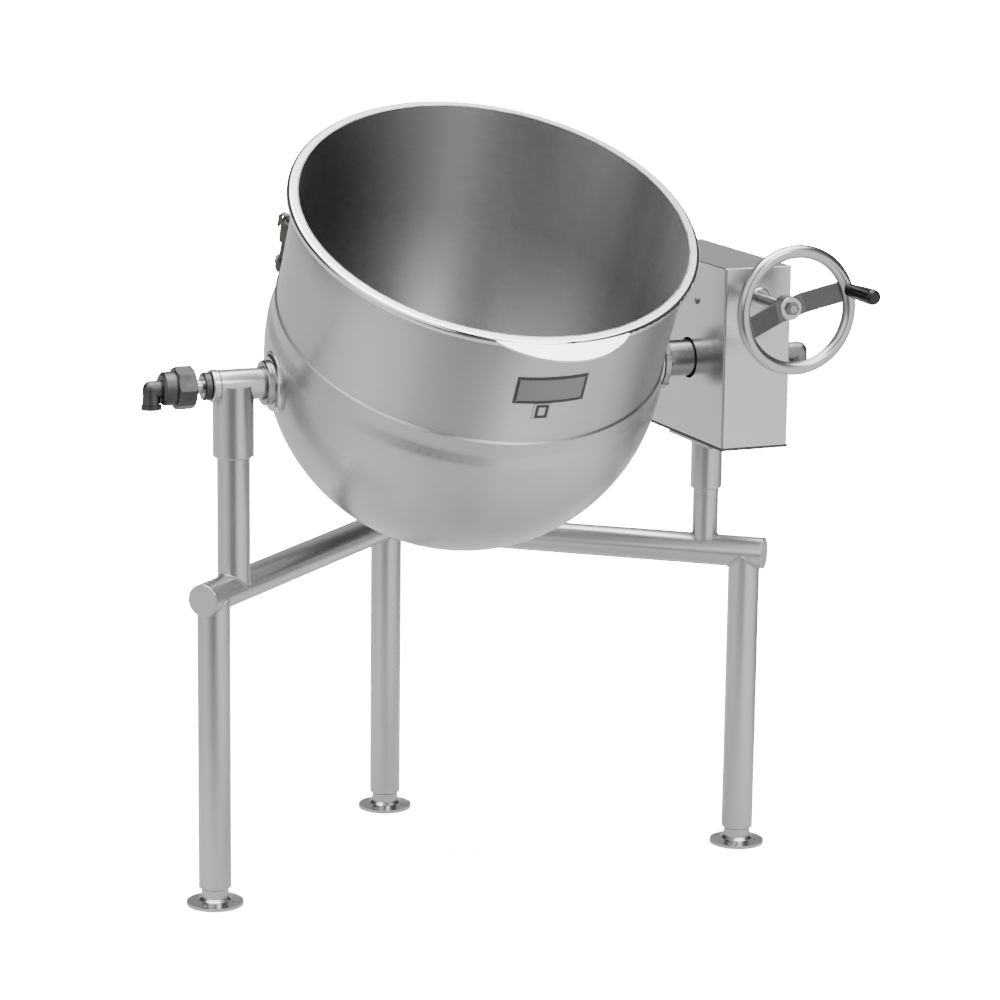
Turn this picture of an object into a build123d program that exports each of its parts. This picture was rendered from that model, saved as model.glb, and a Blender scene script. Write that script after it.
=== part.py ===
from build123d import *
import os
from math import acos, cos, degrees, pi, radians, sin, sqrt, tan

# A tilting steam jacketed kettle on a three-leg tube stand, tilted by a handwheel and a worm gear.
# X runs along the trunnions towards the gear case, -Y is the pouring side and Z is up.
# Every piece is laid out from the point on the floor below the kettle's centre, where the kettle's
# centre plane (X = 0) meets the plane of the trunnions (Y = 0). All sizes are in millimetres.

# Kettle
axis_height = 809.0          # trunnion axis above the floor
rest_tilt = 28.0             # the kettle stands this far forward of upright
bowl_radius = 301.0          # inside radius of the liner
liner_wall = 2.5
rim_height = 295.0           # top of the rim above the trunnion axis
bowl_centre = 92.0           # centre of the liner's round bottom above the trunnion axis
jacket_gap = 5.0             # between the liner's and the jacket's straight sides
jacket_wall = 2.5
jacket_centre = 39.0         # centre of the jacket's round bottom above the trunnion axis
neck_bottom = 50.0           # the jacket necks in between these two heights
neck_top = 78.0
skirt_top = 98.0             # top of the jacket's skirt, where it is welded to the liner
weld_leg = 3.0
rim_width = 14.5
rim_depth = 14.0
rim_round = 6.0
lip_reach = 35.0             # how far the pouring lip stands out of the rim
lip_half_angle = 19.5
lip_thickness = 3.0
lip_set_down = 2.0          # the lip starts this far below the rim's top
lip_drop = 3.0

# Plates on the kettle's front
plate_thickness = 1.0
nameplate_width = 113.0
nameplate_height = 48.0
nameplate_centre = 198.0
data_plate_size = 28.0
data_plate_x = -8.0
data_plate_centre = 159.0

# Stand
tube_od = 50.8
tube_wall = 2.0
rail_drop = 318.0            # axis of the two side rails below the trunnion axis
front_leg_y = -42.0
rear_leg_x = 11.0
rear_leg_y = 345.0
rail_overhang = 31.0
cap_thickness = 3.0
post_right_od = 41.3
sleeve_left_od = 63.5
sleeve_right_od = 50.8
sleeve_left_length = 111.0
sleeve_right_length = 79.0
slip = 0.15                  # clearance between telescoped tubes
face_gap = 0.3               # clearance between faces that move past each other

# Feet
leg_bottom = 28.0
foot_flange_d = 89.0
foot_flange_edge = 5.0
foot_flange_t = 8.0
foot_boss_d = 43.0
foot_stem_d = 19.0
foot_stem_length = 75.0
foot_bolt_circle = 70.0
foot_bolt_hole_d = 10.0
foot_bolt_count = 4
insert_length = 42.0
run_gap = 0.05               # radial clearance of every running fit

# Left trunnion
tee_od = 48.3
tee_bore_d = 40.9
tee_length = 68.0
tee_branch = 43.4            # from the tee's inner end to the post's axis
tee_end_ring_od = 50.0
tee_end_ring_t = 13.0
bushing_flange_t = 2.7
bushing_flange_d = 52.0
left_shaft_d = 33.4
shaft_bore_d = 26.6
left_collar_d = 70.0
left_collar_t = 10.0
hub_base_d = 93.0
hub_root = 20.0              # how far each hub's blank reaches in before the jacket trims it
hub_shoulder = 8.0           # depth of the left hub's domed part inside the jacket's radius
hub_rise = 4.0               # how far the left hub stands out of the jacket
left_retainer_d = 43.0
retainer_t = 11.5
trunnion_depth = 8.0         # how far each trunnion reaches through the jacket's wall

# Steam and condensate joints
nipple_od = 21.3
nipple_bore_d = 15.8
nipple_free = 16.0
nut_across = 67.0            # over the corners
nut_width = 29.0
joint_body_d = 52.0
joint_body_length = 21.0
joint_spigot = 10.0
seal_width = 6.0
steam_elbow_d = 31.0
steam_elbow_run = 14.7       # from its corner to the face it is screwed against
steam_elbow_drop = 30.5      # from its corner to its open end
elbow_bore_d = 18.0
port_depth = 13.0
port_d = 21.0
collar_length = 7.0
collar_step = 2.0
union_across = 36.0          # over the corners
union_length = 44.0
union_grip = 24.0            # how much of the nipple the union takes in
condensate_elbow_d = 34.0
condensate_elbow_run = 34.7
condensate_elbow_drop = 33.0

# Right trunnion
right_hub_reach = 25.0
trunnion_flange_d = 96.0
trunnion_flange_t = 10.0
right_neck_d = 58.0
right_shaft_d = 45.0
trunnion_end_gap = 3.0       # the shaft's end stands this far out of the case
trunnion_bolt_circle = 78.0
trunnion_bolt_count = 6
trunnion_bolt_d = 8.0
trunnion_bolt_grip = 15.0

# Gear case
case_standoff = 60.0         # from the right hub's face to the case
case_width = 116.0
case_front = 129.0           # in front of the trunnion axis
case_back = 196.0            # behind it
case_sump = 35.0             # below the worm wheel
case_headroom = 18.0         # above the gear frame
post_right_offset = 20.4     # post from the case's middle
case_sheet = 2.0
case_bend = 4.0
base_sheet = 3.0
case_screw_middle = 100.4    # from the case's front edge
case_screw_edge = 28.6
case_screw_top = 65.0
case_screw_d = 6.0
head_plate_t = 6.0
head_plate_x = 108.0
head_plate_y = 160.0
frame_base_t = 10.0
frame_depth = 156.0
cheek_t = 12.0
cheek_gap = 60.0
block_t = 24.0
frame_crown = 13.0           # metal above the worm's bushings
frame_keel = 9.5             # metal below them
waist_drop = 30.0            # the cheeks are narrowest this far below the trunnion axis
frame_bolt_d = 12.0
frame_bolt_x = 16.0
frame_bolt_y = 60.0
trunnion_bush_wall = 5.0
worm_bush_wall = 5.0

# Worm gear
gear_module = 5.0
wheel_teeth = 36
worm_pitch_d = 45.0
pressure_angle = 20.0
tooth_backlash = 0.8
wheel_face = 30.0
wheel_web_t = 12.0
wheel_boss_d = 74.0
wheel_boss_gap = 2.0
wheel_rim_depth = 12.0
wheel_hole_d = 26.0
worm_end_gap = 16.0
key_width = 12.0
key_height = 8.0
key_length = 40.0

# Handwheel
worm_shaft_d = 25.0
handwheel_shaft_d = 19.0
handwheel_reach = 129.0      # rim's centre plane in front of the case
handwheel_radius = 91.0
handwheel_tube_d = 20.5
spoke_angle = 18.0
spoke_width = 32.0
spoke_thickness = 5.0
spoke_dish = 21.0
hub_d = 37.0
hub_length = 26.0
hub_front = 5.0              # hub's face in front of the spoke's middle
spoke_flat = 13.0            # flat end of the spoke, inside the rim
spoke_offset = 2.0           # spoke's ends behind the rim's centre plane
hub_lip = 2.0                # hub's front web, which the nut clamps
stud_d = 12.0
wheel_nut_across = 18.5
wheel_nut_t = 6.0
gland_d = 34.0
gland_t = 8.0
grip_length = 80.0
grip_base_d = 20.0
grip_end_d = 24.4
grip_bore_depth = 66.0
grip_bolt_d = 9.5
grip_nut_t = 7.0

# Safety valve
valve_angle = 132.0          # around the kettle from the gear side, towards the back
valve_height = 36.0
valve_reach = 21.0
valve_elbow_d = 28.0
valve_neck_d = 17.0
valve_neck_length = 36.0
valve_neck_grip = 8.0
valve_neck_collar = 4.0
valve_body_d = 29.0
valve_body_length = 30.0
valve_hex_across = 30.0
valve_hex_t = 10.0
lever_width = 9.0
lever_thickness = 3.0
lever_out = 19.0
lever_down = 27.0
lever_eye_d = 8.4
lever_pin_d = 4.0
lever_pin_height = 6.0       # pin above the valve's flat top
ear_t = 3.2
ear_height = 6.0             # ears above and below the pin together

# Siphon tube, from the bottom of the jacket out through the right trunnion
nipple_socket = 20.0         # how deep the condensate nipple goes into the trunnion
siphon_grip = 6.0
siphon_od = 9.5
siphon_bore_d = 7.0
siphon_bend = 12.0
siphon_wall_gap = 3.75
siphon_bend_angle = 80.0
siphon_run_angle = 66.0

# Kettle sizes that follow
liner_outer = bowl_radius + liner_wall
jacket_radius = liner_outer + jacket_gap + jacket_wall
skirt_inner = liner_outer + slip
skirt_outer = skirt_inner + jacket_wall
rim_outer = liner_outer + rim_width
lip_tip_r = rim_outer + lip_reach
lip_root_h = rim_height - lip_set_down
lip_tip_h = lip_root_h - lip_drop
siphon_run_r = jacket_radius - jacket_wall - siphon_od / 2 - siphon_wall_gap
valve_x = jacket_radius + valve_reach
valve_foot = valve_height + valve_elbow_d / 2
valve_hex_top = valve_foot + valve_neck_length + valve_hex_t
valve_top = valve_hex_top + valve_body_length

# Left trunnion and steam joint, from the kettle outwards
hub_base_x = jacket_radius - hub_shoulder
left_collar_x = -(jacket_radius + hub_rise)
collar_face_x = left_collar_x - left_collar_t
tee_inner_x = collar_face_x - face_gap - bushing_flange_t
tee_outer_x = tee_inner_x - tee_length
left_end_x = tee_outer_x - tee_end_ring_t - face_gap - retainer_t
joint_face_x = left_end_x - nipple_free
joint_body_x = joint_face_x - nut_width - joint_body_length
nipple_end_x = joint_face_x - nut_width - seal_width
spigot_r = joint_body_d / 2 - seal_width

# Right trunnion, gear case and condensate joint, from the kettle outwards
right_hub_face = jacket_radius + right_hub_reach
case_x0 = right_hub_face + case_standoff
case_x1 = case_x0 + case_width
gear_x = (case_x0 + case_x1) / 2
right_end_x = case_x1 + trunnion_end_gap
union_x0 = right_end_x + face_gap
union_x1 = union_x0 + union_length

# Worm gear and its case
wheel_pitch_r = gear_module * wheel_teeth / 2
worm_pitch = pi * gear_module
worm_root_r = worm_pitch_d / 2 - gear_module * 1.2
worm_z = axis_height + wheel_pitch_r + worm_pitch_d / 2
worm_length = frame_depth - 2 * block_t - 2 * worm_end_gap
trunnion_bush_r = right_shaft_d / 2 + trunnion_bush_wall
worm_bush_r = worm_shaft_d / 2 + worm_bush_wall
wheel_boss_length = cheek_gap - 2 * wheel_boss_gap
frame_top = worm_z + worm_bush_r + frame_crown
case_y0 = -case_front
case_y1 = case_back
case_z0 = axis_height - wheel_pitch_r - gear_module - case_sump
case_z1 = frame_top + case_headroom
case_base_top = case_z0 + base_sheet
head_plate_bottom = case_z0 - head_plate_t

# Handwheel
handwheel_y = case_y0 - handwheel_reach
hub_face_y = handwheel_y + spoke_dish - hub_front
hub_seat_y = hub_face_y + hub_lip
grip_y = handwheel_y - handwheel_tube_d / 2 - face_gap

# Stand
tube_r = tube_od / 2
tube_bore_r = tube_r - tube_wall
rail_height = axis_height - rail_drop
post_share = rear_leg_y / (rear_leg_y - front_leg_y)    # how far along the rails the posts stand
post_left_x = tee_inner_x - tee_branch
post_right_x = gear_x - post_right_offset
leg_left_x = rear_leg_x + (post_left_x - rear_leg_x) / post_share
leg_right_x = rear_leg_x + (post_right_x - rear_leg_x) / post_share
leg_places = [(leg_left_x, front_leg_y), (leg_right_x, front_leg_y), (rear_leg_x, rear_leg_y)]
sleeve_left_bottom = axis_height - sleeve_left_length
sleeve_right_bottom = head_plate_bottom - sleeve_right_length

# The finished part is moved as one, so that its origin is on the floor below the middle of it all,
# half way from elbow to elbow and from the lip's tip to the rear foot.
elbow_left_x = joint_body_x - steam_elbow_run - steam_elbow_d / 2
elbow_right_x = union_x1 + condensate_elbow_run + condensate_elbow_d / 2
lip_tip_y = -lip_tip_r * cos(radians(rest_tilt)) - lip_tip_h * sin(radians(rest_tilt))
foot_back_y = rear_leg_y + foot_flange_d / 2
origin_x = (elbow_left_x + elbow_right_x) / 2
origin_y = (lip_tip_y + foot_back_y) / 2


on_end = (Align.CENTER, Align.CENTER, Align.MIN)


def rod_x(radius, x0, x1):
    return Pos(x0, 0, 0) * Rot(0, 90, 0) * Cylinder(radius, x1 - x0, align=on_end)


def rod_y(radius, y0, y1):
    return Pos(0, y1, 0) * Rot(90, 0, 0) * Cylinder(radius, y1 - y0, align=on_end)


def rod_z(radius, z0, z1):
    return Pos(0, 0, z0) * Cylinder(radius, z1 - z0, align=(Align.CENTER, Align.CENTER, Align.MIN))


def at_axis(part):
    """Moves a piece drawn about the origin up to the trunnion axis."""
    return Pos(0, 0, axis_height) * part


def in_kettle(part):
    """Moves a piece drawn about the upright kettle's trunnion axis to where the tilted kettle has it."""
    return Pos(0, 0, axis_height) * Rot(rest_tilt, 0, 0) * part


# ---- Kettle -------------------------------------------------------------------------------------


def bowl_form(radius):
    """A straight-sided round-bottomed vessel up to the rim, filled to its axis."""
    arc = CenterArc((0, bowl_centre), radius, -90, 90)
    side = Line((radius, bowl_centre), (radius, rim_height))
    lid = Line((radius, rim_height), (0, rim_height))
    axis = Line((0, rim_height), (0, bowl_centre - radius))
    return revolve(make_face([Plane.XZ * edge for edge in (arc, side, lid, axis)]), Axis.Z)


def liner_bowl():
    return bowl_form(liner_outer) - bowl_form(bowl_radius)


def jacket_form(inset):
    """The jacket filled to its axis, drawn in by inset all round."""
    radius = jacket_radius - inset
    throat = skirt_outer - inset
    bend = (neck_top - neck_bottom) / 2
    arc = CenterArc((0, jacket_centre), radius, -90, 90)
    side = Line((radius, jacket_centre), (radius, neck_bottom))
    neck = Bezier(
        (radius, neck_bottom), (radius, neck_bottom + bend), (throat, neck_top - bend), (throat, neck_top)
    )
    skirt = Line((throat, neck_top), (throat, skirt_top))
    lid = Line((throat, skirt_top), (0, skirt_top))
    axis = Line((0, skirt_top), (0, jacket_centre - radius))
    return revolve(make_face([Plane.XZ * edge for edge in (arc, side, neck, skirt, lid, axis)]), Axis.Z)


def jacket_shell():
    shell = jacket_form(0) - jacket_form(jacket_wall)
    shell = shell - rod_x(left_shaft_d / 2, -jacket_radius, 0) - rod_x(right_shaft_d / 2, 0, jacket_radius)
    valve_hole = Pos(0, 0, valve_height) * rod_x(valve_neck_d / 2, 0, jacket_radius)
    return shell - Rot(0, 0, valve_angle) * valve_hole


def closing_ring():
    section = Polyline(
        (liner_outer + slip, skirt_top),
        (liner_outer + slip + weld_leg, skirt_top),
        (liner_outer + slip, skirt_top + weld_leg),
        close=True,
    )
    return revolve(make_face(Plane.XZ * section), Axis.Z)


def rim_ring():
    section = Pos(liner_outer, rim_height - rim_depth) * Rectangle(
        rim_width, rim_depth, align=(Align.MIN, Align.MIN)
    )
    outer_corners = section.vertices().group_by(Axis.X)[-1]
    return revolve(Plane.XZ * fillet(outer_corners, rim_round), Axis.Z)


def pour_lip():
    """A crescent of plate standing out of the rim and falling away from it."""
    half = radians(lip_half_angle)
    left = (-rim_outer * sin(half), -rim_outer * cos(half))
    right = (rim_outer * sin(half), -rim_outer * cos(half))
    blank = extrude(make_face([ThreePointArc(left, (0, -lip_tip_r), right), Line(right, left)]), rim_height)
    inner = rim_outer - rim_round
    slope = Polyline(
        (inner, lip_root_h),
        (lip_tip_r, lip_tip_h),
        (lip_tip_r, lip_tip_h - lip_thickness),
        (inner, lip_root_h - lip_thickness),
        close=True,
    )
    return (blank & revolve(make_face(Plane.XZ * slope), Axis.Z)) - rim_ring()


def left_hub():
    base = hub_base_d / 2
    face = left_collar_d / 2
    blank = revolve(
        make_face(
            [
                Plane.XZ * edge
                for edge in (
                    Line((hub_root - hub_base_x, 0), (hub_root - hub_base_x, base)),
                    Line((hub_root - hub_base_x, base), (-hub_base_x, base)),
                    Bezier((-hub_base_x, base), (left_collar_x, base), (left_collar_x, face)),
                    Line((left_collar_x, face), (left_collar_x, 0)),
                    Line((left_collar_x, 0), (hub_root - hub_base_x, 0)),
                )
            ]
        ),
        Axis.X,
    )
    return blank - jacket_form(0) - rod_x(left_shaft_d / 2, left_collar_x, 0)


def right_hub():
    blank = rod_x(hub_base_d / 2, hub_base_x - hub_root, right_hub_face)
    blank = fillet(blank.edges().group_by(Axis.X)[-1], 3)
    blank = blank - jacket_form(0) - rod_x(right_shaft_d / 2, 0, right_hub_face)
    bolt_hole = rod_x(trunnion_bolt_d / 2, right_hub_face - trunnion_bolt_grip, right_hub_face)
    return blank - trunnion_bolt_places(bolt_hole)


def trunnion_bolt_places(item):
    turns = [Rot(360 * i / trunnion_bolt_count, 0, 0) for i in range(trunnion_bolt_count)]
    return [turn * Pos(0, 0, trunnion_bolt_circle / 2) * item for turn in turns]


def left_trunnion():
    wall_x = -(jacket_radius - trunnion_depth)
    shaft = rod_x(left_shaft_d / 2, left_end_x, wall_x)
    collar = rod_x(left_collar_d / 2, collar_face_x, left_collar_x)
    collar = chamfer(collar.edges().group_by(Axis.X)[0], 2)
    socket_x = left_end_x + retainer_t
    bore = rod_x(shaft_bore_d / 2, socket_x, wall_x) + rod_x(nipple_od / 2, left_end_x, socket_x)
    return shaft + collar - bore


def retaining_collar():
    ring = rod_x(left_retainer_d / 2, left_end_x, left_end_x + retainer_t)
    return chamfer(ring.edges(), 1.5) - rod_x(left_shaft_d / 2, left_end_x, left_end_x + retainer_t)


def steam_nipple():
    inner_x = left_end_x + retainer_t
    return rod_x(nipple_od / 2, nipple_end_x, inner_x) - rod_x(nipple_bore_d / 2, nipple_end_x, inner_x)


def right_trunnion():
    wall_x = jacket_radius - trunnion_depth
    flange_x = right_hub_face + trunnion_flange_t
    cheek_x = gear_x - cheek_gap / 2 - cheek_t
    flange = rod_x(trunnion_flange_d / 2, right_hub_face, flange_x)
    flange = chamfer(flange.edges().group_by(Axis.X)[-1], 1.5)
    neck = rod_x(right_neck_d / 2, flange_x, cheek_x - bushing_flange_t - face_gap)
    socket_x = right_end_x - nipple_socket
    bore = rod_x(nipple_od / 2, socket_x, right_end_x) + rod_x(shaft_bore_d / 2, wall_x, socket_x)
    body = rod_x(right_shaft_d / 2, wall_x, right_end_x) + flange + neck - bore
    body = body - trunnion_bolt_places(rod_x(trunnion_bolt_d / 2, right_hub_face, flange_x))
    return in_kettle(body) - at_axis(wheel_key_form())


def trunnion_bolts():
    flange_x = right_hub_face + trunnion_flange_t
    head = extrude(RegularPolygon(trunnion_bolt_d * 0.8, 6), trunnion_bolt_d * 0.6)
    bolt = Pos(flange_x, 0, 0) * Rot(0, 90, 0) * head
    bolt = bolt + rod_x(trunnion_bolt_d / 2, right_hub_face - trunnion_bolt_grip, flange_x)
    return Compound([in_kettle(copy) for copy in trunnion_bolt_places(bolt)])


def condensate_nipple():
    """Its inner end is bored small, to hold the siphon tube."""
    inner_x = right_end_x - nipple_socket
    outer_x = right_end_x + union_grip
    bore = rod_x(nipple_bore_d / 2, inner_x + siphon_grip, outer_x)
    seat = rod_x(siphon_od / 2, inner_x, inner_x + siphon_grip)
    return rod_x(nipple_od / 2, inner_x, outer_x) - bore - seat


def siphon_tube():
    """Thin tube from the condensate nipple, through the trunnion and down between the two shells."""
    start_x = right_end_x - nipple_socket + siphon_grip
    wall_x = sqrt((jacket_radius - jacket_wall) ** 2 - jacket_centre**2)
    level = Line((start_x, 0), (wall_x, 0))
    bend = JernArc(level @ 1, (-1, 0), siphon_bend, siphon_bend_angle)
    drop = JernArc(bend @ 1, bend % 1, siphon_run_r, -siphon_run_angle)
    path = Wire([Plane.XZ * level, Plane.XZ * bend, Plane.XZ * drop])
    start = Plane(origin=(start_x, 0, 0), z_dir=(-1, 0, 0))
    tube = sweep(start * Circle(siphon_od / 2), path=path)
    return tube - sweep(start * Circle(siphon_bore_d / 2), path=path)


def front_plate(width, height, centre_x, centre_h):
    skin = rod_z(liner_outer + plate_thickness, centre_h - height / 2, centre_h + height / 2)
    skin = skin - rod_z(liner_outer, centre_h - height / 2, centre_h + height / 2)
    window = Pos(centre_x, -liner_outer, centre_h) * Box(width, liner_outer, height)
    return skin & window


# ---- Safety valve -------------------------------------------------------------------------------


def on_kettle_side(part):
    """Places a piece drawn with X outwards at the safety valve's place on the kettle's side."""
    return in_kettle(Rot(0, 0, valve_angle) * part)


def valve_elbow():
    run = valve_reach + jacket_wall - joint_spigot
    fitting = elbow(valve_elbow_d, run, valve_elbow_d / 2, valve_neck_d)
    return on_kettle_side(Pos(valve_x, 0, valve_height) * Rot(0, 180, 0) * fitting)


def safety_valve():
    """Neck, hexagon, spring barrel and two ears that carry the lever's pin."""
    neck = rod_z(valve_neck_d / 2, valve_foot, valve_hex_top - valve_hex_t)
    neck = neck + rod_z(port_d / 2, valve_foot - valve_neck_grip, valve_foot + valve_neck_collar)
    hexagon = extrude(RegularPolygon(valve_hex_across / 2, 6), valve_hex_t)
    hexagon = Pos(0, 0, valve_hex_top - valve_hex_t) * hexagon
    barrel = rod_z(valve_body_d / 2, valve_hex_top, valve_top)
    barrel = chamfer(barrel.edges().group_by(Axis.Z)[-1], 3)
    ear_y = lever_width / 2 + face_gap + ear_t / 2
    ear = Box(lever_width, ear_t, lever_pin_height + ear_height)
    ears = [Pos(0, side * ear_y, valve_top + lever_pin_height / 2 + 1) * ear for side in (-1, 1)]
    pin_hole = rod_y(lever_pin_d / 2, -lever_width * 2, lever_width * 2)
    pin_hole = Pos(0, 0, valve_top + lever_pin_height) * pin_hole
    return on_kettle_side(Pos(valve_x, 0, 0) * (neck + hexagon + barrel + ears - pin_hole))


def at_lever_pin(part):
    return on_kettle_side(Pos(valve_x, 0, valve_top + lever_pin_height) * part)


def valve_lever():
    """Bent strip that turns about the pin: out over the barrel and down its far side."""
    low = -lever_eye_d / 2 + lever_thickness
    middle = low - lever_thickness / 2
    path = FilletPolyline((0, middle), (lever_out, middle), (lever_out, -lever_down), radius=5)
    strip = trace(path, line_width=lever_thickness)
    bar = extrude(Plane.XZ * strip, lever_width / 2, both=True)
    bar = bar + rod_y(lever_eye_d / 2, -lever_width / 2, lever_width / 2)
    return at_lever_pin(bar - rod_y(lever_pin_d / 2 + run_gap, -lever_width, lever_width))


def lever_pin():
    return at_lever_pin(rod_y(lever_pin_d / 2, -lever_width / 2 - ear_t - 1, lever_width / 2 + ear_t + 1))


# ---- Stand --------------------------------------------------------------------------------------


def rail_ends(leg_x):
    rear = Vector(rear_leg_x, rear_leg_y, rail_height)
    leg = Vector(leg_x, front_leg_y, rail_height)
    along = (leg - rear).normalized()
    return rear, leg + along * rail_overhang, along


def rail_rod(leg_x, radius):
    rear, front, along = rail_ends(leg_x)
    start = rear - along * tube_od
    length = (front - start).length
    return Plane(origin=start, z_dir=along) * Cylinder(radius, length, align=on_end)


def side_rail(leg_x, other_leg_x):
    rear, _, along = rail_ends(leg_x)
    other = rail_ends(other_leg_x)[2]
    mitre = Plane(origin=rear, z_dir=along - other)
    tube = rail_rod(leg_x, tube_r) - rail_rod(leg_x, tube_bore_r)
    return split(tube, bisect_by=mitre, keep=Keep.TOP)


def rail_cap(leg_x):
    _, front, along = rail_ends(leg_x)
    disc = Cylinder(tube_r, cap_thickness, align=(Align.CENTER, Align.CENTER, Align.MIN))
    disc = fillet(disc.edges().group_by(Axis.Z)[-1], cap_thickness * 0.6)
    return Plane(origin=front, z_dir=along) * disc


def leg(x, y):
    tube = rod_z(tube_r, leg_bottom, rail_height) - rod_z(tube_bore_r, leg_bottom, rail_height)
    tube = Pos(x, y, 0) * tube
    return tube - rail_rod(leg_left_x, tube_r) - rail_rod(leg_right_x, tube_r)


def post_left():
    top = axis_height - tee_od / 2 - 1
    tube = rod_z(tube_r, rail_height, top) - rod_z(tube_bore_r, rail_height, top)
    return Pos(post_left_x, 0, 0) * tube - rail_rod(leg_left_x, tube_r)


def post_right():
    radius = post_right_od / 2
    bore = rod_z(radius - tube_wall, rail_height, head_plate_bottom)
    tube = rod_z(radius, rail_height, head_plate_bottom) - bore
    return Pos(post_right_x, 0, 0) * tube - rail_rod(leg_right_x, tube_r)


def sleeve(outer_d, inner_d, bottom, top):
    ring = rod_z(outer_d / 2, bottom, top)
    ring = chamfer(ring.edges().group_by(Axis.Z)[0], 1.5)
    return ring - rod_z(inner_d / 2, bottom, top)


def post_sleeve_left():
    tube = Pos(post_left_x, 0, 0) * sleeve(sleeve_left_od, tube_od, sleeve_left_bottom, axis_height)
    tube = tube - at_axis(rod_x(tee_od / 2, tee_outer_x, tee_inner_x + sleeve_left_od))
    return tube - at_axis(rod_x(tee_end_ring_od / 2, tee_outer_x - sleeve_left_od, tee_outer_x))


def post_sleeve_right():
    part = sleeve(sleeve_right_od, post_right_od, sleeve_right_bottom, head_plate_bottom)
    return Pos(post_right_x, 0, 0) * part


def trunnion_tee():
    ring = rod_x(tee_end_ring_od / 2, tee_outer_x - tee_end_ring_t, tee_outer_x)
    ring = fillet(ring.edges(), 2.5)
    body = rod_x(tee_od / 2, tee_outer_x, tee_inner_x) + ring
    return at_axis(body - rod_x(tee_bore_d / 2, tee_outer_x - tee_end_ring_t, tee_inner_x))


def left_bushing():
    outer_x = tee_outer_x - tee_end_ring_t
    flange_x = tee_inner_x + bushing_flange_t
    body = rod_x(tee_bore_d / 2, outer_x, flange_x) + rod_x(bushing_flange_d / 2, tee_inner_x, flange_x)
    return at_axis(body - rod_x(left_shaft_d / 2 + run_gap, outer_x, flange_x))


def leg_insert(x, y):
    plug = rod_z(tube_bore_r, leg_bottom, leg_bottom + insert_length)
    return Pos(x, y, 0) * (plug - rod_z(foot_stem_d / 2 + run_gap, leg_bottom, leg_bottom + insert_length))


def foot(x, y):
    """Round floor flange with its boss and threaded stem, turned in one piece."""
    boss_top = leg_bottom - face_gap
    section = Polyline(
        (0, 0),
        (foot_flange_d / 2, 0),
        (foot_flange_d / 2, foot_flange_edge),
        (foot_boss_d / 2 + 4, foot_flange_t),
        (foot_boss_d / 2, foot_flange_t + 4),
        (foot_boss_d / 2, boss_top - 2),
        (foot_boss_d / 2 - 2, boss_top),
        (foot_stem_d / 2, boss_top),
        (foot_stem_d / 2, boss_top + foot_stem_length - 2),
        (foot_stem_d / 2 - 2, boss_top + foot_stem_length),
        (0, boss_top + foot_stem_length),
        close=True,
    )
    body = revolve(make_face(Plane.XZ * section), Axis.Z)
    for i in range(foot_bolt_count):
        turn = Rot(0, 0, 360 * (i + 0.5) / foot_bolt_count)
        body = body - turn * Pos(foot_bolt_circle / 2, 0, 0) * rod_z(foot_bolt_hole_d / 2, 0, foot_flange_t)
    return Pos(x, y, 0) * body


# ---- Steam and condensate joints ----------------------------------------------------------------


def elbow(outer_d, run, drop, spigot_d):
    """Right-angle fitting about its corner, with its run along +X and its open end down."""
    radius = outer_d / 2 - collar_step
    body = Sphere(radius) + rod_x(radius, 0, run) + rod_z(radius, -drop, 0)
    body = body + rod_z(outer_d / 2, -drop, collar_length - drop)
    body = body + rod_x(spigot_d / 2, run, run + joint_spigot)
    way = elbow_bore_d / 2 - 2
    hollow = Sphere(way) + rod_x(way, 0, run + joint_spigot) + rod_z(way, -drop, 0)
    return body - hollow - rod_z(port_d / 2, -drop, port_depth - drop)


def steam_joint_nut():
    grip = Pos(joint_face_x, 0, 0) * Rot(0, -90, 0) * extrude(RegularPolygon(nut_across / 2, 8), nut_width)
    bevel = chamfer(rod_x(nut_across / 2, joint_face_x - nut_width, joint_face_x).edges(), 3)
    hollow = rod_x(spigot_r, joint_face_x - nut_width, joint_face_x - seal_width)
    opening = rod_x(nipple_od / 2 + face_gap, joint_face_x - nut_width, joint_face_x)
    return at_axis((grip & bevel) - hollow - opening)


def steam_joint_body():
    seal_face_x = joint_face_x - 2 * seal_width
    body = rod_x(joint_body_d / 2, joint_body_x, joint_face_x - nut_width)
    body = chamfer(body.edges().group_by(Axis.X)[0], 4)
    body = body + rod_x(spigot_r, joint_face_x - nut_width, seal_face_x)
    socket = rod_x(elbow_bore_d / 2, joint_body_x, joint_body_x + joint_spigot)
    passage = rod_x(nipple_bore_d / 2, joint_body_x, seal_face_x)
    bearing = rod_x(nipple_od / 2 + run_gap, nipple_end_x - face_gap, seal_face_x)
    return at_axis(body - socket - passage - bearing)


def steam_joint_seal():
    seal_x = joint_face_x - seal_width
    ring = rod_x(spigot_r, seal_x - seal_width, seal_x)
    return at_axis(ring - rod_x(nipple_od / 2 + run_gap, seal_x - seal_width, seal_x))


def steam_elbow():
    fitting = elbow(steam_elbow_d, steam_elbow_run, steam_elbow_drop, elbow_bore_d)
    return at_axis(Pos(joint_body_x - steam_elbow_run, 0, 0) * fitting)


def condensate_joint():
    grip = Pos(union_x0, 0, 0) * Rot(0, 90, 0) * extrude(RegularPolygon(union_across / 2, 6), union_length)
    bevel = chamfer(rod_x(union_across / 2, union_x0, union_x1).edges(), 1.5)
    seat = rod_x(nipple_od / 2 + run_gap, union_x0, right_end_x + union_grip + face_gap)
    passage = rod_x(elbow_bore_d / 2 - 2, union_x0, union_x1)
    socket = rod_x(elbow_bore_d / 2, union_x1 - joint_spigot, union_x1)
    return at_axis((grip & bevel) - seat - passage - socket)


def condensate_elbow():
    fitting = elbow(condensate_elbow_d, condensate_elbow_run, condensate_elbow_drop, elbow_bore_d)
    return at_axis(Pos(union_x1 + condensate_elbow_run, 0, 0) * Rot(0, 0, 180) * fitting)


# ---- Gear case ----------------------------------------------------------------------------------


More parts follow.
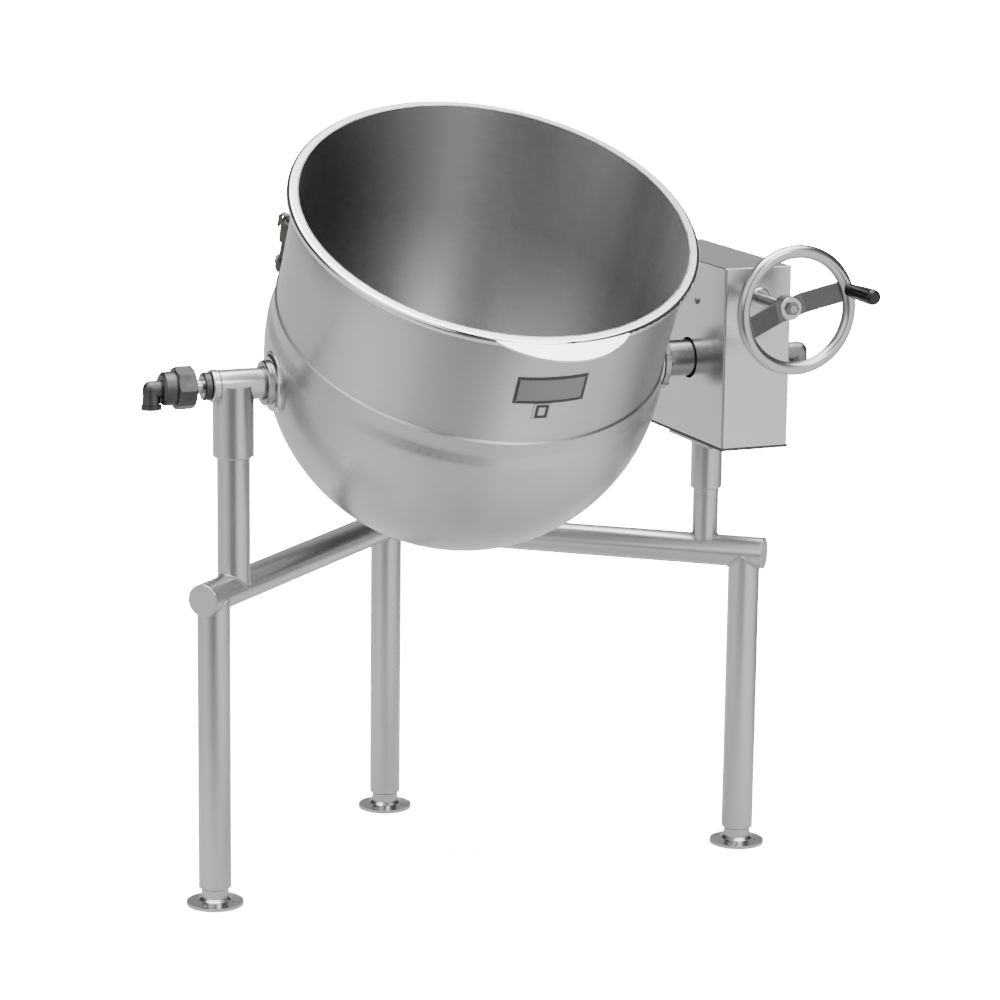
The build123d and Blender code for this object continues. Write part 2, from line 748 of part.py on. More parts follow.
def block(x0, x1, y0, y1, z0, z1):
    return Pos(x0, y0, z0) * Box(x1 - x0, y1 - y0, z1 - z0, align=Align.MIN)


def gear_case():
    outside = block(case_x0, case_x1, case_y0, case_y1, case_z0, case_z1)
    outside = fillet(outside.edges().filter_by(Axis.Z), case_bend)
    outside = fillet(outside.edges().group_by(Axis.Z)[-1], case_bend * 0.5)
    inside = block(
        case_x0 + case_sheet,
        case_x1 - case_sheet,
        case_y0 + case_sheet,
        case_y1 - case_sheet,
        case_z0,
        case_z1 - case_sheet,
    )
    inside = fillet(inside.edges().filter_by(Axis.Z), case_bend - case_sheet)
    trunnion_in = at_axis(rod_x(right_neck_d / 2 + 4, case_x0, gear_x))
    trunnion_out = at_axis(rod_x(right_shaft_d / 2 + 3, gear_x, case_x1))
    shaft_out = Pos(gear_x, 0, worm_z) * rod_y(handwheel_shaft_d / 2 + 2, case_y0, 0)
    shell = outside - inside - trunnion_in - trunnion_out - shaft_out
    return shell - [place * rod_x(case_screw_d / 2, -case_sheet, case_sheet) for place in case_screw_places()]


def case_screw_places():
    """Two screws on the inner side and four on the outer side, each drawn along +X into the sheet."""
    high = case_z1 - case_screw_top
    low = case_z0 + case_screw_edge
    back_y = case_y1 - case_screw_edge
    inner = [Pos(case_x0, y, high) for y in (case_y0 + case_screw_middle, back_y)]
    outer_spots = [(y, z) for y in (case_y0 + case_screw_edge, back_y) for z in (low, high)]
    return inner + [Pos(case_x1, y, z) * Rot(0, 0, 180) for y, z in outer_spots]


def case_screws():
    head = rod_x(case_screw_d * 0.9, -case_screw_d * 0.55, 0)
    head = fillet(head.edges().group_by(Axis.X)[0], case_screw_d * 0.4)
    screw = head + rod_x(case_screw_d / 2, 0, case_sheet + 4)
    return Compound([place * screw for place in case_screw_places()])


def case_base():
    inset = case_sheet
    sheet = block(
        case_x0 + inset, case_x1 - inset, case_y0 + inset, case_y1 - inset, case_z0, case_base_top
    )
    sheet = fillet(sheet.edges().filter_by(Axis.Z), case_bend - case_sheet)
    return sheet - [place * rod_z(frame_bolt_d / 2, case_z0, case_base_top) for place in frame_bolt_places()]


def frame_bolt_places():
    return [Pos(gear_x + sx * frame_bolt_x, sy * frame_bolt_y, 0) for sx in (-1, 1) for sy in (-1, 1)]


def head_plate():
    plate = block(
        gear_x - head_plate_x / 2,
        gear_x + head_plate_x / 2,
        -head_plate_y / 2,
        head_plate_y / 2,
        head_plate_bottom,
        case_z0,
    )
    plate = fillet(plate.edges().filter_by(Axis.Z), 8)
    bolt_hole = rod_z(frame_bolt_d / 2, head_plate_bottom, case_z0)
    return plate - [place * bolt_hole for place in frame_bolt_places()]


def gear_frame():
    """Casting with a foot, two cheeks for the trunnion and two cross blocks for the worm shaft."""
    foot_top = case_base_top + frame_base_t
    half = frame_depth / 2
    inner = gear_x - cheek_gap / 2
    outer = gear_x + cheek_gap / 2
    foot_plate = block(
        gear_x - head_plate_x / 2 + 4, gear_x + head_plate_x / 2 - 4, -half, half, case_base_top, foot_top
    )
    foot_plate = fillet(foot_plate.edges().filter_by(Axis.Z), 8)
    scoop = rod_x(half * 0.62, 0, cheek_t)
    waist = [Pos(0, side * half * 1.25, axis_height - waist_drop) * scoop for side in (-1, 1)]
    cheek = block(0, cheek_t, -half, half, case_base_top, frame_top) - waist
    cheek = cheek + at_axis(rod_x(right_shaft_d / 2 + 16, 0, cheek_t))
    cheeks = Pos(inner - cheek_t, 0, 0) * cheek + Pos(outer, 0, 0) * cheek
    bottom_z = worm_z - worm_bush_r - frame_keel
    cross = [
        block(inner, outer, -half, -half + block_t, bottom_z, frame_top),
        block(inner, outer, half - block_t, half, bottom_z, frame_top),
    ]
    frame = foot_plate + cheeks + cross
    frame = frame - at_axis(rod_x(trunnion_bush_r, inner - cheek_t, outer + cheek_t))
    frame = frame - Pos(gear_x, 0, worm_z) * rod_y(worm_bush_r, -half, half)
    return frame - [place * rod_z(frame_bolt_d / 2, case_base_top, foot_top) for place in frame_bolt_places()]


def frame_bolts():
    top = case_base_top + frame_base_t
    head_t = frame_bolt_d * 0.6
    hexagon = extrude(RegularPolygon(frame_bolt_d * 0.8, 6), head_t)
    nut_z = head_plate_bottom - head_t
    bolt = Pos(0, 0, top) * hexagon + Pos(0, 0, nut_z) * hexagon + rod_z(frame_bolt_d / 2, nut_z, top)
    return Compound([place * bolt for place in frame_bolt_places()])


def flanged_bush(bore_d, outer_r, length, flange_r):
    """Bush drawn along X from the origin, with its flange on the side where X is below 0."""
    body = rod_x(outer_r, -bushing_flange_t, length) + rod_x(flange_r, -bushing_flange_t, 0)
    return body - rod_x(bore_d / 2 + run_gap, -bushing_flange_t, length)


def trunnion_bushings():
    bush = flanged_bush(right_shaft_d, trunnion_bush_r, cheek_t, trunnion_bush_r + 5)
    reach = cheek_gap / 2 + cheek_t
    inner = at_axis(Pos(gear_x - reach, 0, 0) * bush)
    outer = at_axis(Pos(gear_x + reach, 0, 0) * Rot(0, 0, 180) * bush)
    return Compound([inner, outer])


def worm_bushings():
    bush = flanged_bush(worm_shaft_d, worm_bush_r, block_t, worm_bush_r + 3)
    half = frame_depth / 2
    front = Pos(gear_x, -half, worm_z) * Rot(0, 0, 90) * bush
    rear = Pos(gear_x, half, worm_z) * Rot(0, 0, -90) * bush
    return Compound([front, rear])


def shaft_gland():
    ring = rod_y(gland_d / 2, case_y0 - gland_t, case_y0)
    ring = chamfer(ring.edges().group_by(Axis.Y)[0], 2)
    neck = rod_y(handwheel_shaft_d / 2 + 2, case_y0, case_y0 + case_sheet + 2)
    bore = rod_y(handwheel_shaft_d / 2 + run_gap, case_y0 - gland_t, case_y0 + case_sheet + 2)
    return Pos(gear_x, 0, worm_z) * (ring + neck - bore)


# ---- Worm gear ----------------------------------------------------------------------------------


def tooth_half_angle(radius):
    """Half the angle that one involute tooth of the wheel takes up at a radius, in radians."""
    pressure = radians(pressure_angle)
    local = acos(min(1.0, wheel_pitch_r * cos(pressure) / radius))
    half = (worm_pitch / 4 - tooth_backlash / 4) / wheel_pitch_r
    return half + (tan(pressure) - pressure) - (tan(local) - local)


def tooth_space():
    """One space of the wheel, twisted to follow the worm's lead, with its middle at the top."""
    root_r = wheel_pitch_r - gear_module * 1.25
    top_r = wheel_pitch_r + gear_module * 1.1
    flank = []
    for i in range(4):
        radius = root_r + (top_r - root_r) * i / 3
        turn = pi / wheel_teeth - tooth_half_angle(radius)
        flank.append((radius * sin(turn), radius * cos(turn)))
    mirror = [(-y, z) for y, z in flank]
    closers = [Line(flank[3], mirror[3]), Line(mirror[0], flank[0])]
    section = make_face([Spline(*flank), closers[0], Spline(*mirror), closers[1]])
    length = wheel_face + 2
    twist = degrees(length * gear_module / worm_pitch_d / wheel_pitch_r)
    start = Plane.YZ.offset(-length / 2) * Rot(0, 0, -twist / 2) * section
    return Solid.extrude_linear_with_rotation(start.face(), (-length / 2, 0, 0), (length, 0, 0), twist)


def worm_wheel():
    half = wheel_face / 2
    blank = chamfer(rod_x(wheel_pitch_r + gear_module, -half, half).edges(), 1.5)
    space = tooth_space()
    ring = blank - [Rot(360 * i / wheel_teeth, 0, 0) * space for i in range(wheel_teeth)]
    rim_inner = wheel_pitch_r - gear_module * 1.25 - wheel_rim_depth
    recess = rod_x(rim_inner, -half, -wheel_web_t / 2) + rod_x(rim_inner, wheel_web_t / 2, half)
    boss = rod_x(wheel_boss_d / 2, -wheel_boss_length / 2, wheel_boss_length / 2)
    hole = Pos(0, 0, (rim_inner + wheel_boss_d / 2) / 2) * rod_x(wheel_hole_d / 2, -half, half)
    wheel = ring - recess - [Rot(360 * (i + 0.5) / 6, 0, 0) * hole for i in range(6)] + boss
    wheel = wheel - rod_x(right_shaft_d / 2, -wheel_boss_length / 2, wheel_boss_length / 2)
    return at_axis(Pos(gear_x, 0, 0) * wheel - wheel_key_form())


def wheel_key_form():
    return Pos(gear_x, 0, right_shaft_d / 2) * Box(key_length, key_width, key_height)


def worm_section():
    """The worm cut square across its axis: root, two flanks rising round it and the crest."""
    lean = tan(radians(pressure_angle))
    crest_r = worm_pitch_d / 2 + gear_module
    half = worm_pitch / 4 - tooth_backlash / 4
    flank = []
    for i in range(4):
        radius = worm_root_r + (crest_r - worm_root_r) * i / 3
        turn = 2 * pi * (half - (radius - worm_pitch_d / 2) * lean) / worm_pitch
        flank.append((radius * cos(turn), radius * sin(turn)))
    mirror = [(x, -y) for x, y in flank]
    crest = ThreePointArc(flank[3], (crest_r, 0), mirror[3])
    root = ThreePointArc(mirror[0], (-worm_root_r, 0), flank[0])
    return make_face([Spline(*flank), crest, Spline(*mirror), root])


def on_worm_axis(part):
    return Pos(gear_x, 0, worm_z) * part


def worm_thread():
    """The threaded length, drawn a turn too long at each end and cut to length."""
    half = worm_length / 2 + worm_pitch
    half_turn = 360 * half / worm_pitch
    start = Pos(0, 0, -half) * Rot(0, 0, -half_turn) * worm_section()
    thread = Solid.extrude_linear_with_rotation(start.face(), (0, 0, -half), (0, 0, 2 * half), 2 * half_turn)
    thread = Plane(origin=(0, 0, 0), x_dir=(0, 0, -1), z_dir=(0, 1, 0)) * thread
    return thread & rod_y(worm_pitch_d, -worm_length / 2, worm_length / 2)


def worm_shaft():
    """Shaft turned with shoulders for its two bearings and cut with a single right-hand thread."""
    shoulder_y = frame_depth / 2 - block_t - face_gap
    bearing_y = frame_depth / 2 + bushing_flange_t + 3
    shoulder_r = worm_root_r + 1
    shoulders = [
        rod_y(shoulder_r, -shoulder_y, -worm_length / 2),
        rod_y(shoulder_r, worm_length / 2, shoulder_y),
    ]
    journals = [
        rod_y(worm_shaft_d / 2, -bearing_y, -shoulder_y),
        rod_y(worm_shaft_d / 2, shoulder_y, bearing_y),
    ]
    stem = rod_y(handwheel_shaft_d / 2, hub_seat_y, -bearing_y)
    stud = rod_y(stud_d / 2, hub_face_y - wheel_nut_t - 2, hub_seat_y)
    return on_worm_axis(worm_thread() + shoulders + journals + stem + stud)


# ---- Handwheel ----------------------------------------------------------------------------------


def spoke_bar():
    """Flat bar across the wheel, dished so that the hub lies behind the rim."""
    hub_y = handwheel_y + spoke_dish
    end_y = handwheel_y + spoke_offset
    line = [(-handwheel_radius, end_y), (spoke_flat - handwheel_radius, end_y), (-hub_d * 0.65, hub_y)]
    line = line + [(-u, y) for u, y in reversed(line)]
    half = spoke_thickness / 2
    outline = [(u, y - half) for u, y in line] + [(u, y + half) for u, y in reversed(line)]
    bar = extrude(make_face(Polyline(*outline, close=True)), spoke_width / 2, both=True)
    return Rot(0, -spoke_angle, 0) * bar


def rim_form():
    return Pos(0, handwheel_y, 0) * Rot(90, 0, 0) * Torus(handwheel_radius, handwheel_tube_d / 2)


def on_handle_axis(part):
    return on_worm_axis(Rot(0, -spoke_angle, 0) * Pos(handwheel_radius, 0, 0) * part)


def wheel_hub():
    blank = rod_y(hub_d / 2, hub_face_y, hub_face_y + hub_length)
    blank = chamfer(blank.edges(), 1.5) - spoke_bar()
    blank = blank - rod_y(handwheel_shaft_d / 2, hub_seat_y, hub_face_y + hub_length)
    return on_worm_axis(blank - rod_y(stud_d / 2, hub_face_y, hub_seat_y))


def wheel_spoke():
    return on_worm_axis(spoke_bar() - rim_form() - rod_y(handwheel_shaft_d / 2, hub_face_y, 0))


def wheel_rim():
    return on_worm_axis(rim_form()) - on_handle_axis(rod_y(grip_bolt_d / 2, grip_y, hub_face_y))


def wheel_nut():
    hexagon = RegularPolygon(wheel_nut_across / 2, 6, major_radius=False)
    nut = Pos(0, hub_face_y, 0) * Rot(90, 0, 0) * extrude(hexagon, wheel_nut_t)
    return on_worm_axis(nut - rod_y(stud_d / 2, hub_face_y - wheel_nut_t, hub_face_y))


def handle_bolt():
    """Pin of the grip, held in the rim by a nut behind it."""
    back_y = handwheel_y + handwheel_tube_d / 2
    pin = rod_y(grip_bolt_d / 2, grip_y - grip_bore_depth + 2, back_y + grip_nut_t + 2)
    nut = extrude(RegularPolygon(grip_bolt_d * 0.9, 6), grip_nut_t)
    nut = Pos(0, back_y + grip_nut_t, 0) * Rot(90, 0, 0) * nut
    return on_handle_axis(pin + nut)


def handle_grip():
    length = grip_length
    profile = [
        Line((0, 0), (grip_base_d / 2, 0)),
        Bezier((grip_base_d / 2, 0), (grip_end_d / 2, -length * 0.45), (grip_end_d / 2, -length + 7)),
        Bezier((grip_end_d / 2, -length + 7), (grip_end_d / 2, -length), (grip_end_d / 2 - 7, -length)),
        Line((grip_end_d / 2 - 7, -length), (0, -length)),
        Line((0, -length), (0, 0)),
    ]
    body = revolve(make_face(profile), Axis.Y)
    body = body - rod_y(grip_bolt_d / 2 + run_gap, -grip_bore_depth, 0)
    return on_handle_axis(Pos(0, grip_y, 0) * body)


# ---- Everything ---------------------------------------------------------------------------------

parts = {
    "leg_left": leg(leg_left_x, front_leg_y),
    "leg_right": leg(leg_right_x, front_leg_y),
    "leg_rear": leg(rear_leg_x, rear_leg_y),
    "leg_inserts": Compound([leg_insert(x, y) for x, y in leg_places]),
    "side_rail_left": side_rail(leg_left_x, leg_right_x),
    "side_rail_right": side_rail(leg_right_x, leg_left_x),
    "rail_end_caps": Compound([rail_cap(leg_left_x), rail_cap(leg_right_x)]),
    "post_left": post_left(),
    "post_right": post_right(),
    "post_sleeve_left": post_sleeve_left(),
    "post_sleeve_right": post_sleeve_right(),
    "trunnion_tee": trunnion_tee(),
    "left_bushing": left_bushing(),
    "head_plate": head_plate(),
    "gear_case": gear_case(),
    "case_base": case_base(),
    "case_screws": case_screws(),
    "gear_frame": gear_frame(),
    "frame_bolts": frame_bolts(),
    "trunnion_bushings": trunnion_bushings(),
    "worm_bushings": worm_bushings(),
    "shaft_gland": shaft_gland(),
    "steam_joint_body": steam_joint_body(),
    "steam_joint_nut": steam_joint_nut(),
    "steam_joint_seal": steam_joint_seal(),
    "steam_elbow": steam_elbow(),
    "condensate_joint": condensate_joint(),
    "condensate_elbow": condensate_elbow(),
    "foot_left": foot(leg_left_x, front_leg_y),
    "foot_right": foot(leg_right_x, front_leg_y),
    "foot_rear": foot(rear_leg_x, rear_leg_y),
    "liner_bowl": in_kettle(liner_bowl()),
    "jacket_shell": in_kettle(jacket_shell()),
    "closing_ring": in_kettle(closing_ring()),
    "rim_ring": in_kettle(rim_ring()),
    "pour_lip": in_kettle(pour_lip()),
    "left_hub": in_kettle(left_hub()),
    "right_hub": in_kettle(right_hub()),
    "left_trunnion": at_axis(left_trunnion()),
    "retaining_collar": at_axis(retaining_collar()),
    "right_trunnion": right_trunnion(),
    "trunnion_bolts": trunnion_bolts(),
    "steam_nipple": at_axis(steam_nipple()),
    "condensate_nipple": at_axis(condensate_nipple()),
    "siphon_tube": in_kettle(siphon_tube()),
    "worm_wheel": worm_wheel(),
    "wheel_key": at_axis(wheel_key_form()),
    "valve_elbow": valve_elbow(),
    "safety_valve": safety_valve(),
    "lever_pin": lever_pin(),
    "valve_lever": valve_lever(),
    "nameplate": in_kettle(front_plate(nameplate_width, nameplate_height, 0, nameplate_centre)),
    "data_plate": in_kettle(front_plate(data_plate_size, data_plate_size, data_plate_x, data_plate_centre)),
    "worm_shaft": worm_shaft(),
    "wheel_hub": wheel_hub(),
    "wheel_spoke": wheel_spoke(),
    "wheel_rim": wheel_rim(),
    "wheel_nut": wheel_nut(),
    "handle_bolt": handle_bolt(),
    "handle_grip": handle_grip(),
}

os.makedirs("parts", exist_ok=True)
for name, shape in parts.items():
    export_step(Pos(-origin_x, -origin_y, 0) * shape, f"parts/{name}.step")
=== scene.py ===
from math import cos, pi, radians, sin

import bpy
from mathutils import Matrix, Vector


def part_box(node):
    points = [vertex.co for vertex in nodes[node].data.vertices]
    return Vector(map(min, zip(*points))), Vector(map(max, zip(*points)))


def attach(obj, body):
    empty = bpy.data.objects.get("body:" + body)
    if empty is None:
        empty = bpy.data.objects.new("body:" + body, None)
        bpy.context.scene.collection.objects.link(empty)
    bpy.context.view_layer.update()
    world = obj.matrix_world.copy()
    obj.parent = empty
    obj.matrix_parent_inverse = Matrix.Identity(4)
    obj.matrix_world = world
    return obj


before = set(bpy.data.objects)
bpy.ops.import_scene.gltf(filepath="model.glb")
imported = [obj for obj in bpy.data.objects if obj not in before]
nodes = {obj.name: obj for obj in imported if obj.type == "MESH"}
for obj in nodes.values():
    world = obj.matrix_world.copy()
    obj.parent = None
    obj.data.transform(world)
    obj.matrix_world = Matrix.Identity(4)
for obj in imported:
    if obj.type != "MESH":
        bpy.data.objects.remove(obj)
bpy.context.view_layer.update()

# ---- Camera -------------------------------------------------------------------------------------
# A long lens about 5.6 m off and a little above the rim, to the left of straight in front, held a
# touch off level.

camera_place = Vector((-2.0815, -4.9782, 1.7644))
camera_target = Vector((0.02465, 0.02916, 0.59773))
camera_roll = radians(0.71)
lens_length, sensor_width, sight_end = 126.353, 36.0, 400.0

look = (camera_target - camera_place).normalized()
right = look.cross(Vector((0, 0, 1))).normalized()
up = right.cross(look)
rolled_right = right * cos(camera_roll) + up * sin(camera_roll)
rolled_up = up * cos(camera_roll) - right * sin(camera_roll)
camera_data = bpy.data.cameras.new("camera")
camera_data.lens = lens_length
camera_data.sensor_width = sensor_width
camera_data.clip_end = sight_end
camera = bpy.data.objects.new("camera", camera_data)
camera_axes = Matrix((rolled_right, rolled_up, -look)).transposed().to_4x4()
camera.matrix_world = Matrix.Translation(camera_place) @ camera_axes
bpy.context.scene.collection.objects.link(camera)
bpy.context.scene.camera = camera

# ---- Studio floor -------------------------------------------------------------------------------
# White paper that runs out of sight. Seen straight it is plain white, and the metal mirrors it as a
# light grey floor with dark and light sides, which draw the soft stripes on the tubes.

# How far round to the left of straight in front the camera stands.
camera_bearing = radians(22.8)


def add_node(tree, kind, sockets=None, **settings):
    """Adds a shader node, sets its properties, and sets or links its inputs."""
    made = tree.nodes.new("ShaderNode" + kind)
    for key, value in settings.items():
        setattr(made, key, value)
    for key, value in (sockets or {}).items():
        if isinstance(value, bpy.types.NodeSocket):
            tree.links.new(value, made.inputs[key])
        else:
            made.inputs[key].default_value = value
    return made


def new_material(name):
    """An empty node material and its tree, with an output waiting for its surface."""
    material = bpy.data.materials.new(name)
    material.use_nodes = True
    material.node_tree.nodes.clear()
    return material, material.node_tree


def room_tone(tree, direction, stops):
    """Brightness of the studio by compass bearing from the kettle, and the height looked at."""
    turned = add_node(tree, "Mapping", {"Vector": direction, "Rotation": (0, 0, camera_bearing)})
    axes = add_node(tree, "SeparateXYZ", {"Vector": turned.outputs["Vector"]})
    bearing = add_node(tree, "Math", {
        0: axes.outputs["X"], 1: axes.outputs["Y"],
    }, operation="ARCTAN2")
    share = add_node(tree, "MapRange", {
        "Value": bearing.outputs["Value"], "From Min": -pi, "From Max": pi,
    })
    band = add_node(tree, "ValToRGB", {"Fac": share.outputs["Result"]})
    elements = band.color_ramp.elements
    while len(elements) < len(stops):
        elements.new(0.5)
    for element, (position, grey) in zip(elements, stops):
        element.position = position
        element.color = (grey, grey, grey, 1)
    return band.outputs["Color"], axes.outputs["Z"]


# Bearing and brightness: 0.5 is away from the camera, and the dark strip beside it is at both ends.
floor_stops = (
    (0.00, 0.05), (0.06, 0.05), (0.12, 0.55), (0.17, 0.72), (0.24, 0.60), (0.32, 0.68),
    (0.40, 0.70), (0.50, 1.00), (0.59, 0.80), (0.62, 0.15), (0.67, 0.15), (0.74, 0.75),
    (0.82, 0.95), (0.93, 1.00), (0.965, 0.05),
)
floor_size, floor_drop = 160, 0.0006
stripes_start, stripes_full = 0.7, 1.6     # metres from the kettle's foot
darkest_near, darkest_far, brightest = 0.74, 0.08, 0.92
shade_start, shade_end, shade_depth = 0.10, 0.95, 0.60
white_seen, floor_mirrored = 12.0, 1.5

bpy.ops.object.select_all(action="DESELECT")
bpy.ops.mesh.primitive_plane_add(size=floor_size, location=(0, 0, -floor_drop))
floor = bpy.context.object
floor.name = "floor"

# Matt white paper, so bright that no shadow is left on it. What is mirrored fades to an even grey
# close to the kettle and is painted darker under it, a painted shadow of the kettle.
floor_paper, tree = new_material("white_studio_paper")
place = add_node(tree, "TexCoord").outputs["Object"]
tone, _ = room_tone(tree, place, floor_stops)
reach = add_node(tree, "VectorMath", {0: place}, operation="LENGTH")
strip_depth = add_node(tree, "MapRange", {
    "Value": reach.outputs["Value"], "From Min": stripes_start, "From Max": stripes_full,
    "To Min": darkest_near, "To Max": darkest_far,
})
# painted shadow: the mirrored floor is darker close under the kettle
painted_shadow_under_kettle = add_node(tree, "MapRange", {
    "Value": reach.outputs["Value"], "From Min": shade_start, "From Max": shade_end,
    "To Min": shade_depth, "To Max": 1.0,
})
soft_tone = add_node(tree, "MapRange", {
    "Value": tone, "To Min": strip_depth.outputs["Result"], "To Max": brightest,
})
shaded_tone = add_node(tree, "Math", {
    0: soft_tone.outputs["Result"], 1: painted_shadow_under_kettle.outputs["Result"],
}, operation="MULTIPLY")
sight = add_node(tree, "LightPath").outputs["Is Camera Ray"]
seen_paper = add_node(tree, "BsdfDiffuse", {"Color": (white_seen, white_seen, white_seen, 1.0)})
mirrored_paper = add_node(tree, "Emission", {
    "Color": shaded_tone.outputs["Value"], "Strength": floor_mirrored,
})
paper = add_node(tree, "MixShader", {
    0: sight, 1: mirrored_paper.outputs["Emission"], 2: seen_paper.outputs["BSDF"],
})
add_node(tree, "OutputMaterial", {"Surface": paper.outputs["Shader"]})
floor.data.materials.append(floor_paper)

# ---- Room and lamps -----------------------------------------------------------------------------
# A white studio with two large soft lamps. The metal mirrors walls with a wide dark side and a
# bright ceiling, which draw the upright bands on the case and the dark stripe in the bowl.

sky_stops = (
    (0.00, 0.02), (0.012, 0.02), (0.020, 1.00), (0.12, 1.10), (0.16, 0.90), (0.19, 0.40),
    (0.22, 0.04), (0.40, 0.05), (0.50, 0.30), (0.60, 0.05), (0.78, 0.05), (0.83, 0.35),
    (0.88, 0.90), (0.92, 1.15), (0.955, 1.15), (0.963, 0.02),
)
walls_full, ceiling_start, ceiling_full = 0.08, 0.78, 0.88   # sines of the angle looked up at
ceiling_tone, walls_mirrored = 4.0, 1.6

room = bpy.data.worlds.new("room")
room.use_nodes = True
bpy.context.scene.world = room
tree = room.node_tree
tree.nodes.clear()
direction = add_node(tree, "TexCoord").outputs["Generated"]
low_tone, rise = room_tone(tree, direction, floor_stops)
high_tone, _ = room_tone(tree, direction, sky_stops)
climb = add_node(tree, "MapRange", {"Value": rise, "From Min": 0.00, "From Max": walls_full})
walls = add_node(tree, "Mix", {
    0: climb.outputs["Result"], 6: low_tone, 7: high_tone,
}, data_type="RGBA")
ceiling = add_node(tree, "MapRange", {
    "Value": rise, "From Min": ceiling_start, "From Max": ceiling_full,
})
both = add_node(tree, "Mix", {
    0: ceiling.outputs["Result"], 6: walls.outputs[2],
    7: (ceiling_tone, ceiling_tone, ceiling_tone, 1),
}, data_type="RGBA")
seen = add_node(tree, "Background", {"Color": (1, 1, 1, 1), "Strength": white_seen})
mirrored = add_node(tree, "Background", {"Color": both.outputs[2], "Strength": walls_mirrored})
sight = add_node(tree, "LightPath").outputs["Is Camera Ray"]
mix = add_node(tree, "MixShader", {
    0: sight, 1: mirrored.outputs["Background"], 2: seen.outputs["Background"],
})
add_node(tree, "OutputWorld", {"Surface": mix.outputs["Shader"]})

lamp_aim = Vector((0, 0, 0.8))
for name, spot, size, power in (
    ("key_light", (0.9, -3.6, 3.4), 1.4, 45),
    ("top_light", (-0.4, 0.4, 4.2), 2.2, 50),
):
    lamp_data = bpy.data.lights.new(name, "AREA")
    lamp_data.size = size
    lamp_data.energy = power
    lamp = bpy.data.objects.new(name, lamp_data)
    lamp.location = spot
    lamp.rotation_euler = (lamp_aim - Vector(spot)).to_track_quat("-Z", "Y").to_euler()
    bpy.context.scene.collection.objects.link(lamp)

# ---- Legs ---------------------------------------------------------------------------------------
# Three legs of 2 in drawn stainless tube, two in front and one behind, belt polished to a satin
# finish. A machined grey iron plug, tapped for the foot's stem, is pressed into each from below.

scratch_spacing = 1.5    # mm between belt lines, which are 0.3 mm apart but wouldn't show so fine
handling_cloud = 160.0   # mm across the patches that hands and cloths have dulled
scratch_depth = 0.3      # mm, as far as the bump's strength lets it show
noise_range = {"From Min": 0.3, "From Max": 0.7}        # where nearly all of one noise lies
two_noises_range = {"From Min": 0.7, "From Max": 1.3}   # and of two added together
dulled_tone = 0.93       # how dark a dulled patch is beside clean steel


def linear(hex_colour):
    """An sRGB hex colour as Blender's linear red, green, blue and alpha."""
    parts = [int(hex_colour[i:i + 2], 16) / 255 for i in (1, 3, 5)]
    return [p / 12.92 if p <= 0.04045 else ((p + 0.055) / 1.055) ** 2.4 for p in parts] + [1.0]


def belt_polished(name, colour, roughness, stretch, turn=(0, 0, 0), bump=0.012, gloss_spread=0.07):
    """Satin stainless with fine parallel lines, stretched one way after a turn in degrees."""
    material, tree = new_material(name)
    place = add_node(tree, "TexCoord").outputs["Object"]
    turned = add_node(tree, "Mapping", {
        "Vector": place, "Rotation": [radians(angle) for angle in turn],
    })
    along = add_node(tree, "Mapping", {"Vector": turned.outputs["Vector"], "Scale": stretch})
    lines = add_node(tree, "TexNoise", {
        "Vector": along.outputs["Vector"], "Scale": 1000 / scratch_spacing, "Detail": 2.0,
    })
    cloud = add_node(tree, "TexNoise", {
        "Vector": place, "Scale": 1000 / handling_cloud, "Detail": 3.0,
    })
    blend = add_node(tree, "Math", {
        0: lines.outputs["Fac"], 1: cloud.outputs["Fac"],
    }, operation="ADD")
    gloss = add_node(tree, "MapRange", {
        "Value": blend.outputs["Value"], **two_noises_range,
        "To Min": roughness * (1 - gloss_spread), "To Max": roughness * (1 + gloss_spread),
    })
    shade = add_node(tree, "MapRange", {
        "Value": cloud.outputs["Fac"], **noise_range, "To Min": dulled_tone, "To Max": 1.0,
    })
    tint = add_node(tree, "VectorMath", {
        0: linear(colour)[:3], 1: shade.outputs["Result"],
    }, operation="MULTIPLY")
    relief = add_node(tree, "Bump", {
        "Height": lines.outputs["Fac"], "Strength": bump, "Distance": scratch_depth / 1000,
    })
    shader = add_node(tree, "BsdfPrincipled", {
        "Base Color": tint.outputs["Vector"], "Metallic": 1.0,
        "Roughness": gloss.outputs["Result"], "Normal": relief.outputs["Normal"],
    })
    add_node(tree, "OutputMaterial", {"Surface": shader.outputs["BSDF"]})
    return material


def dress(material, *names):
    """Gives the named pieces their finish."""
    for name in names:
        mesh = nodes[name].data
        mesh.materials.clear()
        mesh.materials.append(material)


# Satin drawn stainless: soft upright stripes of light and dark, with faint lines up and down.
lines_up = (1, 1, 0.01)
upright_steel = belt_polished("satin_stainless_upright_tube", "#C8C8C7", 0.31, lines_up)
dress(upright_steel, "leg_left", "leg_right", "leg_rear")

foundry_cloud = 25.0     # mm across the darker and lighter patches of a casting
foundry_dark, foundry_light, foundry_bump = 0.75, 1.1, 0.5


